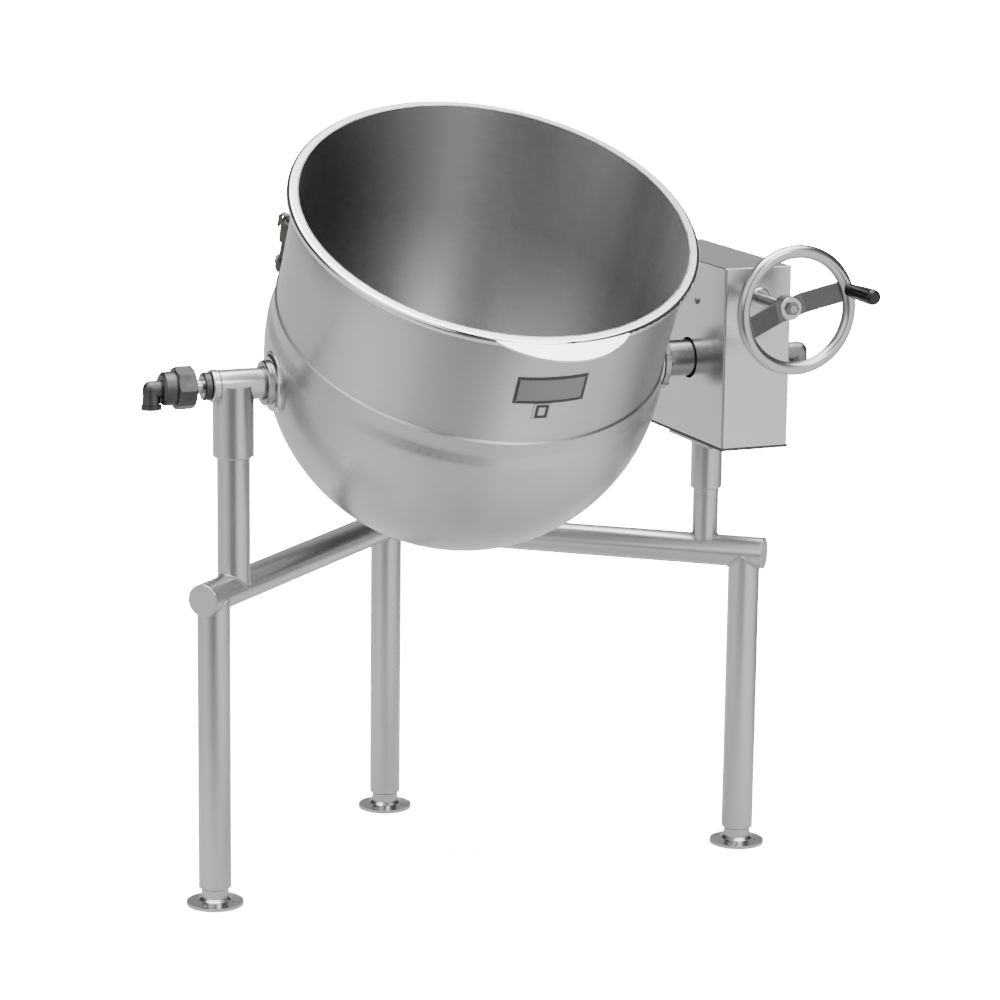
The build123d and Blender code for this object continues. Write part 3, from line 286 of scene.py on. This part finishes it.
def cast_metal(name, colour, roughness, grain, relief_depth):
    """Metal with the fine pebbled skin of its mould, its grain and depth given in millimetres."""
    material, tree = new_material(name)
    place = add_node(tree, "TexCoord").outputs["Object"]
    skin = add_node(tree, "TexNoise", {"Vector": place, "Scale": 1000 / grain, "Detail": 4.0})
    cloud = add_node(tree, "TexNoise", {
        "Vector": place, "Scale": 1000 / foundry_cloud, "Detail": 2.0,
    })
    shade = add_node(tree, "MapRange", {
        "Value": cloud.outputs["Fac"], **noise_range,
        "To Min": foundry_dark, "To Max": foundry_light,
    })
    tint = add_node(tree, "VectorMath", {
        0: linear(colour)[:3], 1: shade.outputs["Result"],
    }, operation="MULTIPLY")
    relief = add_node(tree, "Bump", {
        "Height": skin.outputs["Fac"], "Strength": foundry_bump, "Distance": relief_depth / 1000,
    })
    shader = add_node(tree, "BsdfPrincipled", {
        "Base Color": tint.outputs["Vector"], "Metallic": 1.0,
        "Roughness": roughness, "Normal": relief.outputs["Normal"],
    })
    add_node(tree, "OutputMaterial", {"Surface": shader.outputs["BSDF"]})
    return material


# Machined grey iron: a dull mid grey with a fine, shallow grain.
grey_iron = cast_metal("machined_grey_iron", "#8E8E8C", 0.36, grain=2.5, relief_depth=0.2)
dress(grey_iron, "leg_inserts")

# ---- Feet ---------------------------------------------------------------------------------------
# Each foot is a floor flange with four bolt holes, a boss and a threaded stem, turned in one piece
# from stainless bar and screwed up or down in the plug of its leg.

# Fine turned stainless: smoother than the tubes, so what it mirrors is sharper, with no one way
# in which its marks run.
no_lines = (1, 1, 1)
turned_steel = belt_polished("fine_turned_stainless", "#C6C6C5", 0.235, no_lines, bump=0.03)
dress(turned_steel, "foot_left", "foot_right", "foot_rear")

# ---- Side rails and their caps ------------------------------------------------------------------
# Two rails of the legs' tube run back from the front legs to a mitre over the rear leg. Each has
# a turned stainless cap welded into its front end.

# The same satin tube, with its faint lines along each rail.
lines_across = (0.01, 1, 1)
left_rail_turn, right_rail_turn = (0, 0, 42), (0, 0, -39)
left_rail_steel = belt_polished(
    "satin_stainless_left_rail", "#C8C8C7", 0.31, lines_across, left_rail_turn,
)
dress(left_rail_steel, "side_rail_left")
right_rail_steel = belt_polished(
    "satin_stainless_right_rail", "#C8C8C7", 0.31, lines_across, right_rail_turn,
)
dress(right_rail_steel, "side_rail_right")
dress(turned_steel, "rail_end_caps")

# ---- Welds of the legs and the rear closing band ------------------------------------------------
# Each leg is coped to the rails above it and joined by one bead of stainless weld, wire brushed.
# The rear leg stands under the mitre of both rails, so a rolled band closes the gap at its top.

# Brushed weld: lighter than the tube and slightly rippled, so the seam shows as a soft bright line.
weld_steel = cast_metal("brushed_weld_bead", "#B8B8B7", 0.33, grain=3.0, relief_depth=0.35)
row_shift = Vector((-0.047, 0.0291636, 0))   # from the kettle's middle to the row's middle
rail_level = 0.491
tube_seam = 0.0252                           # the bead bites 0.2 mm into the 2 in tube
bead_steps, bead_rounding = 72, 2
feed = 0.060                                 # each ring starts this far off and is laid on


def shape_with(piece, kind, **settings):
    """Adds a modifier to the piece at hand, sets it and applies it."""
    modifier = piece.modifiers.new(kind.lower(), kind)
    for key, value in settings.items():
        setattr(modifier, key, value)
    bpy.ops.object.modifier_apply(modifier=modifier.name)


def weld_bead(name, body, centre, radius, along, onto=None, beside=None, thickness=0.0020):
    """Lays a round bead of weld on the seam of a round end that meets a plane or a curved piece."""
    bpy.ops.object.select_all(action="DESELECT")
    turn = Vector(along).to_track_quat("Z", "Y").to_euler()
    bpy.ops.mesh.primitive_circle_add(
        vertices=bead_steps, radius=radius, location=centre, rotation=turn,
    )
    bead = bpy.context.object
    bead.name = name
    if onto:
        shape_with(
            bead, "SHRINKWRAP", wrap_method="PROJECT", target=nodes[onto],
            auxiliary_target=nodes[beside] if beside else None, use_project_z=True,
        )
    bpy.ops.object.convert(target="CURVE")
    bead.data.bevel_depth = thickness
    bead.data.bevel_resolution = bead_rounding
    bpy.ops.object.convert(target="MESH")
    bpy.ops.object.transform_apply(location=True, rotation=True, scale=True)
    bpy.ops.object.shade_smooth()
    bead.data.materials.append(weld_steel)
    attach(bead, body)


rear_leg = (0.011, 0.345)
for name, spot, rail, other_rail in (
    ("leg_left", (-0.417953, -0.042), "side_rail_left", "side_rail_right"),
    ("leg_right", (0.485047, -0.042), "side_rail_right", "side_rail_left"),
    ("leg_rear", rear_leg, "side_rail_left", "side_rail_right"),
):
    below = Vector((*spot, rail_level - feed)) + row_shift
    weld_bead("weld_" + name, "stand", below, tube_seam, (0, 0, 1), rail, other_rail)

band_low, band_high, band_radius, band_wall = 0.4615, 0.4840, 0.02548, 0.0030
band_crease = radians(40)
bpy.ops.object.select_all(action="DESELECT")
bpy.ops.mesh.primitive_cylinder_add(
    vertices=96, radius=band_radius, depth=band_high - band_low, end_fill_type="NOTHING",
    location=Vector((*rear_leg, (band_low + band_high) / 2)) + row_shift,
)
band = bpy.context.object
band.name = "rear_leg_closing_band"
shape_with(band, "SOLIDIFY", thickness=band_wall, offset=-1)
bpy.ops.object.transform_apply(location=True, rotation=True, scale=True)
bpy.ops.object.shade_smooth_by_angle(angle=band_crease)
band.data.materials.append(upright_steel)
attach(band, "stand")

# ---- Posts and sleeves --------------------------------------------------------------------------
# A stainless post stands on each side rail, the left one of the legs' tube and the right one
# thinner, each in a short sleeve at its top. Coped ends and sleeves are welded all round.

dress(upright_steel, "post_left", "post_right", "post_sleeve_left", "post_sleeve_right")

left_post, right_post = (-0.3714, 0), (0.4336, 0)
right_post_seam = 0.0207
for name, spot, radius, rail in (
    ("post_left", left_post, tube_seam, "side_rail_left"),
    ("post_right", right_post, right_post_seam, "side_rail_right"),
):
    above = Vector((*spot, rail_level + feed)) + row_shift
    weld_bead("weld_" + name, "stand", above, radius, (0, 0, -1), rail)

thin_bead = 0.0014
for name, spot, level, radius in (
    ("sleeve_left", left_post, 0.6975, 0.0256), ("sleeve_right", right_post, 0.5935, 0.0209),
):
    seam = Vector((*spot, level)) + row_shift
    weld_bead("weld_" + name, "stand", seam, radius, (0, 0, 1), thickness=thin_bead)

# ---- Left bearing -------------------------------------------------------------------------------
# A turned stainless tee across the top of the left post, with a bush of tinned bronze pressed into
# it for the left trunnion.

dress(turned_steel, "trunnion_tee")

# Tinned bearing bronze: a warm light grey, dull where it isn't run on.
bearing_metal = cast_metal("tinned_bearing_bronze", "#9A9894", 0.34, grain=3.0, relief_depth=0.1)
dress(bearing_metal, "left_bushing")

# ---- Head plate ---------------------------------------------------------------------------------
# A 6 mm stainless plate on the right post's sleeve, welded to it from below. The gear frame is
# bolted down on it.

# Satin plate: a shade darker than the tubes, with faint lines from front to back.
lines_deep = (1, 0.01, 1)
plate_steel = belt_polished("satin_head_plate", "#B4B4B3", 0.32, lines_deep)
dress(plate_steel, "head_plate")

plate_seam, plate_seam_level = 0.0256, 0.6725
seam = Vector((*right_post, plate_seam_level)) + row_shift
weld_bead("weld_head_plate", "stand", seam, plate_seam, (0, 0, 1), thickness=thin_bead)

# ---- Gear frame ---------------------------------------------------------------------------------
# A grey iron casting with a foot, two cheeks for the trunnion and two cross blocks for the worm,
# bolted down on the head plate. Bronze bushes are pressed in; the worm's have gone as grey as it.

dress(grey_iron, "gear_frame", "worm_bushings")
dress(bearing_metal, "trunnion_bushings")

# Dull plated steel: the grey of ordinary bolts, nearly smooth.
bolt_steel = cast_metal("dull_plated_steel", "#7A7A79", 0.36, grain=1.5, relief_depth=0.05)
dress(bolt_steel, "frame_bolts")

# ---- Worm gear ----------------------------------------------------------------------------------
# A cast bronze wheel of 36 teeth, keyed on the right trunnion, in mesh with a single-start worm
# that is cut on the handwheel's own steel shaft.

dress(bearing_metal, "worm_wheel")

# Turned shaft steel: darker than the stainless, with a smooth gloss.
shaft_steel = belt_polished("turned_shaft_steel", "#A9A9A8", 0.235, lines_across, bump=0.03)
dress(shaft_steel, "wheel_key", "worm_shaft")

# ---- Gear case ----------------------------------------------------------------------------------
# A box of folded 2 mm stainless sheet over the gear, closed below by a pan and held by screws. A
# turned gland rings the hole where the handwheel's shaft comes out.

# Satin case sheet: smoother than the tubes, so its flat faces mirror the room in wide soft bands.
case_steel = belt_polished("satin_case_sheet", "#CFCFCE", 0.24, lines_up, bump=0.03)
dress(case_steel, "gear_case", "case_base")
dress(bolt_steel, "case_screws")
dress(turned_steel, "shaft_gland")

# ---- Painted shade line at the foot of the case -------------------------------------------------
# A thin dark strip round the bottom edge of the case, painted shade for the shadow line between
# sheet and pan. It stands just proud of the sheet and is cut off level.

shade_strip_height, shade_strip_thickness = 0.0045, 0.0010
shade_strip_inset, shade_strip_rounding = 0.0004, 0.0003
shade_strip_lump, shade_strip_relief = 2.5, 0.3    # mm

# Painted shade strip: nearly black, matt and faintly lumpy, for the shadow line under the case.
shade_strip_material, tree = new_material("painted_shade_strip")
place = add_node(tree, "TexCoord").outputs["Object"]
lumps = add_node(tree, "TexNoise", {
    "Vector": place, "Scale": 1000 / shade_strip_lump, "Detail": 3.0,
})
tone = add_node(tree, "MapRange", {"Value": lumps.outputs["Fac"], "To Min": 0.6, "To Max": 1.4})
tint = add_node(tree, "VectorMath", {
    0: linear("#3A3A39")[:3], 1: tone.outputs["Result"],
}, operation="MULTIPLY")
relief = add_node(tree, "Bump", {
    "Height": lumps.outputs["Fac"], "Strength": 0.4, "Distance": shade_strip_relief / 1000,
})
shader = add_node(tree, "BsdfPrincipled", {
    "Base Color": tint.outputs["Vector"], "Roughness": 0.6, "Normal": relief.outputs["Normal"],
})
add_node(tree, "OutputMaterial", {"Surface": shader.outputs["BSDF"]})


def cut_away(piece, unwanted):
    """Deletes the faces of the piece at hand that a test picks out."""
    bpy.ops.object.mode_set(mode="EDIT")
    bpy.ops.mesh.select_mode(type="FACE")
    bpy.ops.mesh.select_all(action="DESELECT")
    bpy.ops.object.mode_set(mode="OBJECT")
    for face in piece.data.polygons:
        face.select = unwanted(face)
    bpy.ops.object.mode_set(mode="EDIT")
    bpy.ops.mesh.delete(type="FACE")
    bpy.ops.object.mode_set(mode="OBJECT")


case_low, case_high = [Vector(corner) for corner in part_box("gear_case")]
middle = (case_low + case_high) / 2
# the dark strip is painted shade for the shadow line where the case meets its pan
bpy.ops.object.select_all(action="DESELECT")
bpy.ops.mesh.primitive_cube_add(
    size=1, location=(middle.x, middle.y, case_low.z + shade_strip_height / 2),
)
shade_strip = bpy.context.object
shade_strip.name = "case_shade_strip"
shade_strip.scale = (
    case_high.x - case_low.x - shade_strip_inset, case_high.y - case_low.y - shade_strip_inset, shade_strip_height,
)
bpy.ops.object.transform_apply(location=True, rotation=True, scale=True)
cut_away(shade_strip, lambda face: abs(face.normal.z) > 0.5)
shape_with(shade_strip, "SOLIDIFY", thickness=shade_strip_thickness, offset=1)
shape_with(shade_strip, "BEVEL", width=shade_strip_rounding, segments=2)
shade_strip.data.materials.append(shade_strip_material)
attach(shade_strip, "stand")

# ---- Steam jacket -------------------------------------------------------------------------------
# A spun stainless shell with a round bottom of its own, which necks in above and closes on the
# bowl under a ring that is welded on. It is polished round and round.

kettle_centre = Vector((-0.047, 0.029164, 0.809))
kettle_lean = radians(28)
kettle_axis = (0.0, -sin(kettle_lean), cos(kettle_lean))
ring_depth = 0.2                   # mm
spinning_cloud = 500 / 7           # mm across a patch, longer along the kettle's axis
ring_stretch, streak_stretch = (0.02, 0.02, 1), (1, 1, 0.12)
ring_tone, least_gloss, most_gloss = 0.95, 0.93, 1.07
skin_depth, skin_blend = 0.0006, 0.0003


def spun_steel(name, colour, roughness, smear, ring_spacing, bump, lit_outside_colour=None, skin=1.0):
    """Spun stainless steel with rings round the kettle's axis and its gloss smeared along that
    axis. Past the radius of its skin it may have another colour for the outside of the wall, so
    that one steel gets a painted shaded side and a painted lit side."""
    material, tree = new_material(name)
    place = add_node(tree, "TexCoord").outputs["Object"]
    level = add_node(tree, "Mapping", {"Vector": place, "Location": -kettle_centre})
    upright = add_node(tree, "Mapping", {
        "Vector": level.outputs["Vector"], "Rotation": (-kettle_lean, 0, 0),
    })
    rings = add_node(tree, "Mapping", {
        "Vector": upright.outputs["Vector"], "Scale": ring_stretch,
    })
    lines = add_node(tree, "TexNoise", {
        "Vector": rings.outputs["Vector"], "Scale": 1000 / ring_spacing, "Detail": 2.0,
    })
    streak = add_node(tree, "Mapping", {
        "Vector": upright.outputs["Vector"], "Scale": streak_stretch,
    })
    cloud = add_node(tree, "TexNoise", {
        "Vector": streak.outputs["Vector"], "Scale": 1000 / spinning_cloud, "Detail": 2.0,
    })
    gloss = add_node(tree, "MapRange", {
        "Value": cloud.outputs["Fac"], **noise_range,
        "To Min": roughness * least_gloss, "To Max": roughness * most_gloss,
    })
    shade = add_node(tree, "MapRange", {
        "Value": lines.outputs["Fac"], **noise_range, "To Min": ring_tone, "To Max": 1.0,
    })
    across = add_node(tree, "VectorMath", {
        0: upright.outputs["Vector"], 1: (1, 1, 0),
    }, operation="MULTIPLY")
    radius = add_node(tree, "VectorMath", {0: across.outputs["Vector"]}, operation="LENGTH")
    # inside the skin's radius the first colour, past it the second: a shaded and a lit copy of one
    # steel
    wall = add_node(tree, "MapRange", {
        "Value": radius.outputs["Value"],
        "From Min": skin - skin_depth, "From Max": skin - skin_blend,
    })
    face = add_node(tree, "Mix", {
        0: wall.outputs["Result"], 6: linear(colour), 7: linear(lit_outside_colour or colour),
    }, data_type="RGBA")
    tint = add_node(tree, "VectorMath", {
        0: face.outputs[2], 1: shade.outputs["Result"],
    }, operation="MULTIPLY")
    relief = add_node(tree, "Bump", {
        "Height": lines.outputs["Fac"], "Strength": bump, "Distance": ring_depth / 1000,
    })
    along = add_node(tree, "CombineXYZ", dict(zip("XYZ", kettle_axis)))
    world_along = add_node(
        tree, "VectorTransform", {"Vector": along.outputs["Vector"]},
        vector_type="VECTOR", convert_from="OBJECT", convert_to="WORLD",
    )
    shader = add_node(tree, "BsdfPrincipled", {
        "Base Color": tint.outputs["Vector"], "Metallic": 1.0,
        "Roughness": gloss.outputs["Result"], "Anisotropic": smear,
        "Normal": relief.outputs["Normal"], "Tangent": world_along.outputs["Vector"],
    })
    add_node(tree, "OutputMaterial", {"Surface": shader.outputs["BSDF"]})
    return material


# Satin spun jacket: as soft a gloss as the tubes', drawn out a little along the axis. The rings
# are drawn 1.2 mm apart so that they show.
jacket_steel = spun_steel(
    "satin_spun_jacket", "#C4C4C3", 0.31, smear=0.3, ring_spacing=1.2, bump=0.01,
)
dress(jacket_steel, "jacket_shell", "closing_ring")

# ---- Bowl ---------------------------------------------------------------------------------------
# The spun stainless liner that holds the food, 24 in inside, with straight sides and a round
# bottom. It hangs in the jacket by the closing ring.

# Brushed spun liner: brushing round and round smears what the bowl mirrors into soft bands along
# its axis. The same steel is painted darker inside, as painted shade in the bowl, and lighter on
# its outer skin, as a painted lit side. Its rings are drawn 1 mm apart so that they show.
liner_outside = 0.3035
liner_steel = spun_steel(
    "brushed_spun_liner", "#9C9C9B", 0.42, smear=0.95, ring_spacing=1.0, bump=0.01,
    lit_outside_colour="#CFCFCE", skin=liner_outside,
)
dress(liner_steel, "liner_bowl")

# ---- Rim and pouring lip ------------------------------------------------------------------------
# A heavy rounded stainless ring welded on the bowl's edge, with a crescent of plate welded on in
# front as a pouring lip. Both are buffed bright.

# Polished stainless: nearly a mirror, the brightest line on the kettle.
polished_steel = belt_polished("polished_rim_steel", "#F2F2F1", 0.09, no_lines, bump=0.01)
dress(polished_steel, "rim_ring", "pour_lip")

# ---- Trunnion hubs ------------------------------------------------------------------------------
# A turned stainless boss on each side of the jacket, let into it and welded round, which takes
# the trunnion.

# Bright hub steel: a clear gloss, sharper than satin but softer than the rim.
hub_steel = belt_polished("bright_hub_steel", "#D2D2D1", 0.16, no_lines, bump=0.01)
dress(hub_steel, "left_hub", "right_hub")

hub_reach, hub_seam, thick_bead = 0.36, 0.0465, 0.0024
for name, side in (("left", -1), ("right", 1)):
    outward = kettle_centre + Vector((side * hub_reach, 0, 0))
    weld_bead(
        "weld_" + name + "_hub", "kettle", outward, hub_seam, (-side, 0, 0), "jacket_shell",
        thickness=thick_bead,
    )

# ---- Trunnions and their pipes ------------------------------------------------------------------
# Hollow turned steel shafts, the left one kept in its bearing by an iron collar, the right one
# bolted to its hub by a flange. Nipples lead steam in and, by a siphon tube, condensate out.

dress(shaft_steel, "left_trunnion", "right_trunnion")
dress(shaft_steel, "steam_nipple", "condensate_nipple", "siphon_tube")
dress(bolt_steel, "trunnion_bolts")

# Blackened cast iron: dark, dull and pebbled.
dark_iron = cast_metal("blackened_cast_iron", "#585858", 0.42, grain=2.0, relief_depth=0.4)
dress(dark_iron, "retaining_collar")

# ---- Steam and condensate joints ----------------------------------------------------------------
# Each end of the kettle's pipes has a joint and an elbow that stay still while the nipple turns:
# cast iron with a nut and a carbon seal for the steam on the left, grey iron for the condensate.

dress(dark_iron, "steam_joint_body", "steam_joint_nut", "steam_elbow", "steam_joint_seal")
dress(grey_iron, "condensate_joint", "condensate_elbow")

# ---- Safety valve -------------------------------------------------------------------------------
# A bronze relief valve on an elbow that is screwed into the back of the jacket, with a hand lever
# of bent steel strip that turns on a pin.

# Dull valve bronze: a dark brownish grey, matt from heat, as the lever is too.
valve_metal = cast_metal("dull_valve_bronze", "#5E5D5A", 0.4, grain=2.0, relief_depth=0.1)
dress(valve_metal, "valve_elbow", "safety_valve", "valve_lever")
dress(bolt_steel, "lever_pin")

# ---- Plates -------------------------------------------------------------------------------------
# A large and a small plate of 1 mm aluminium sheet, rolled to the bowl's outside and left bare.
# Each has a border of black enamel round its edge.

# Plain plate metal: a flat dark grey, duller than the bowl. The small tag is lighter and glossier.
plate_metal = belt_polished("plain_plate_metal", "#858583", 0.40, no_lines, bump=0.02)
dress(plate_metal, "nameplate")
tag_metal = belt_polished("satin_data_tag", "#BEBEBD", 0.33, no_lines, bump=0.02)
dress(tag_metal, "data_plate")

plate_skin = 0.3045                          # from the kettle's axis to the plates' backs
plate_level = 0.198                          # the large plate's middle above the trunnions
enamel_thickness = 0.0004
border_feed, border_rows = 0.004, 8
wear_spot = 10 / 3                           # mm


def skin_place(x, height, radius):
    """Where a point of the upright front wall lies, at a distance from the kettle's axis."""
    drop = (radius * radius - x * x) ** 0.5
    return kettle_centre + Matrix.Rotation(kettle_lean, 3, "X") @ Vector((x, -drop, height))


# Black enamel: a low gloss over near black, rubbed lighter in small spots.
enamel, tree = new_material("black_enamel_border")
place = add_node(tree, "TexCoord").outputs["Object"]
wear = add_node(tree, "TexNoise", {"Vector": place, "Scale": 1000 / wear_spot, "Detail": 3.0})
gloss = add_node(tree, "MapRange", {"Value": wear.outputs["Fac"], "To Min": 0.30, "To Max": 0.42})
tone = add_node(tree, "MapRange", {"Value": wear.outputs["Fac"], "To Min": 0.6, "To Max": 1.4})
tint = add_node(tree, "VectorMath", {
    0: linear("#2E2E2D")[:3], 1: tone.outputs["Result"],
}, operation="MULTIPLY")
shader = add_node(tree, "BsdfPrincipled", {
    "Base Color": tint.outputs["Vector"], "Roughness": gloss.outputs["Result"],
})
add_node(tree, "OutputMaterial", {"Surface": shader.outputs["BSDF"]})

for name, wide, tall, x, height, rim, columns in (
    ("nameplate", 0.1122, 0.0472, 0.0, plate_level, 0.0042, 24),
    ("data_plate", 0.020, 0.024, -0.008, 0.159, 0.0045, 4),
):
    bpy.ops.object.select_all(action="DESELECT")
    bpy.ops.mesh.primitive_grid_add(
        x_subdivisions=columns, y_subdivisions=border_rows, size=1,
        location=skin_place(x, height, plate_skin + border_feed),
        rotation=(radians(90) + kettle_lean, 0, 0),
    )
    border = bpy.context.object
    border.name = name + "_border"
    border.scale = (wide, tall, 1)
    bpy.ops.object.transform_apply(location=False, rotation=False, scale=True)
    # the second row in from each edge moves to the inside of the border
    for vertex in border.data.vertices:
        for axis, half, step in ((0, wide / 2, wide / columns), (1, tall / 2, tall / border_rows)):
            if half - 1.5 * step < abs(vertex.co[axis]) < half - 0.5 * step:
                vertex.co[axis] = (half - rim) * (1 if vertex.co[axis] > 0 else -1)
    cut_away(border, lambda face: (
        abs(face.center.x) < wide / 2 - rim and abs(face.center.y) < tall / 2 - rim
    ))
    shape_with(
        border, "SHRINKWRAP", wrap_method="PROJECT", target=nodes[name], use_project_z=True,
        use_negative_direction=True, use_positive_direction=False,
    )
    shape_with(border, "SOLIDIFY", thickness=enamel_thickness, offset=1)
    bpy.ops.object.transform_apply(location=True, rotation=True, scale=True)
    border.data.materials.append(enamel)
    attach(border, "kettle")

# ---- Rivets of the large plate ------------------------------------------------------------------
# Four small round-headed rivets of plated steel, one in each corner of the large plate. Each head
# is a flattened half ball, closed behind.

rivet_radius, rivet_flattening, rivet_stand_off = 0.0016, 0.6, 0.0002
rivet_aside, rivet_rise = 0.0525, 0.0200
rivet_spots = [
    (side * rivet_aside, plate_level + rise * rivet_rise) for side in (-1, 1) for rise in (-1, 1)
]

bpy.ops.object.select_all(action="DESELECT")
bpy.ops.mesh.primitive_uv_sphere_add(segments=20, ring_count=10, radius=rivet_radius)
rivets = [bpy.context.object]
bpy.ops.object.mode_set(mode="EDIT")
bpy.ops.mesh.select_all(action="SELECT")
bpy.ops.mesh.bisect(plane_co=(0, 0, 0), plane_no=(0, 0, 1), use_fill=True, clear_inner=True)
bpy.ops.mesh.select_all(action="SELECT")
bpy.ops.transform.resize(value=(1, 1, rivet_flattening))
bpy.ops.object.mode_set(mode="OBJECT")
bpy.ops.object.shade_smooth()
rivets[0].data.materials.append(bolt_steel)
while len(rivets) < len(rivet_spots):
    bpy.ops.object.duplicate()
    rivets.append(bpy.context.object)

for number, (rivet, (x, height)) in enumerate(zip(rivets, rivet_spots), 1):
    bpy.ops.object.select_all(action="DESELECT")
    rivet.select_set(True)
    bpy.context.view_layer.objects.active = rivet
    rivet.name = "plate_rivet_%d" % number
    from_axis = Vector((x, -(plate_skin ** 2 - x * x) ** 0.5, 0)).normalized()
    facing = Matrix.Rotation(kettle_lean, 3, "X") @ from_axis
    rivet.location = skin_place(x, height, plate_skin + rivet_stand_off)
    rivet.rotation_euler = facing.to_track_quat("Z", "Y").to_euler()
    bpy.ops.object.transform_apply(location=True, rotation=True, scale=True)
    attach(rivet, "kettle")

# ---- Handwheel ----------------------------------------------------------------------------------
# An 8 in rim of bent stainless tube and a turned hub, welded to one flat bar, which is dished so
# that the hub lies behind the rim. A nut holds the hub on its shaft.

# Satin wheel rim: a smooth bright gloss with no lines.
wheel_steel = belt_polished("satin_handwheel_rim", "#C4C4C3", 0.235, no_lines, bump=0.02)
dress(wheel_steel, "wheel_rim", "wheel_hub")

# Scaled bar: left as it was rolled, dark and rough along the bar's length.
spoke_turn, spoke_lines = (0, 18, 0), (0.02, 1, 1)
spoke_steel = belt_polished("scaled_spoke_bar", "#6C6C6B", 0.4, spoke_lines, spoke_turn, bump=0.1)
dress(spoke_steel, "wheel_spoke")
dress(bolt_steel, "wheel_nut")

# ---- Grip ---------------------------------------------------------------------------------------
# A tapered grip of moulded black phenolic, which spins on a steel bolt. The bolt goes through the
# wheel's rim and is held by a nut behind it.

flow_width = 50 / 3                # mm across the soft waves that moulding leaves in the gloss

# Glossy black phenolic: deep black with one sharp highlight along it, broken a little by flow.
grip_black, tree = new_material("glossy_black_phenolic")
place = add_node(tree, "TexCoord").outputs["Object"]
flow = add_node(tree, "TexNoise", {"Vector": place, "Scale": 1000 / flow_width, "Detail": 2.0})
gloss = add_node(tree, "MapRange", {"Value": flow.outputs["Fac"], "To Min": 0.12, "To Max": 0.26})
shader = add_node(tree, "BsdfPrincipled", {
    "Base Color": linear("#0B0B0B"), "Roughness": gloss.outputs["Result"],
})
add_node(tree, "OutputMaterial", {"Surface": shader.outputs["BSDF"]})
dress(grip_black, "handle_grip")
dress(bolt_steel, "handle_bolt")
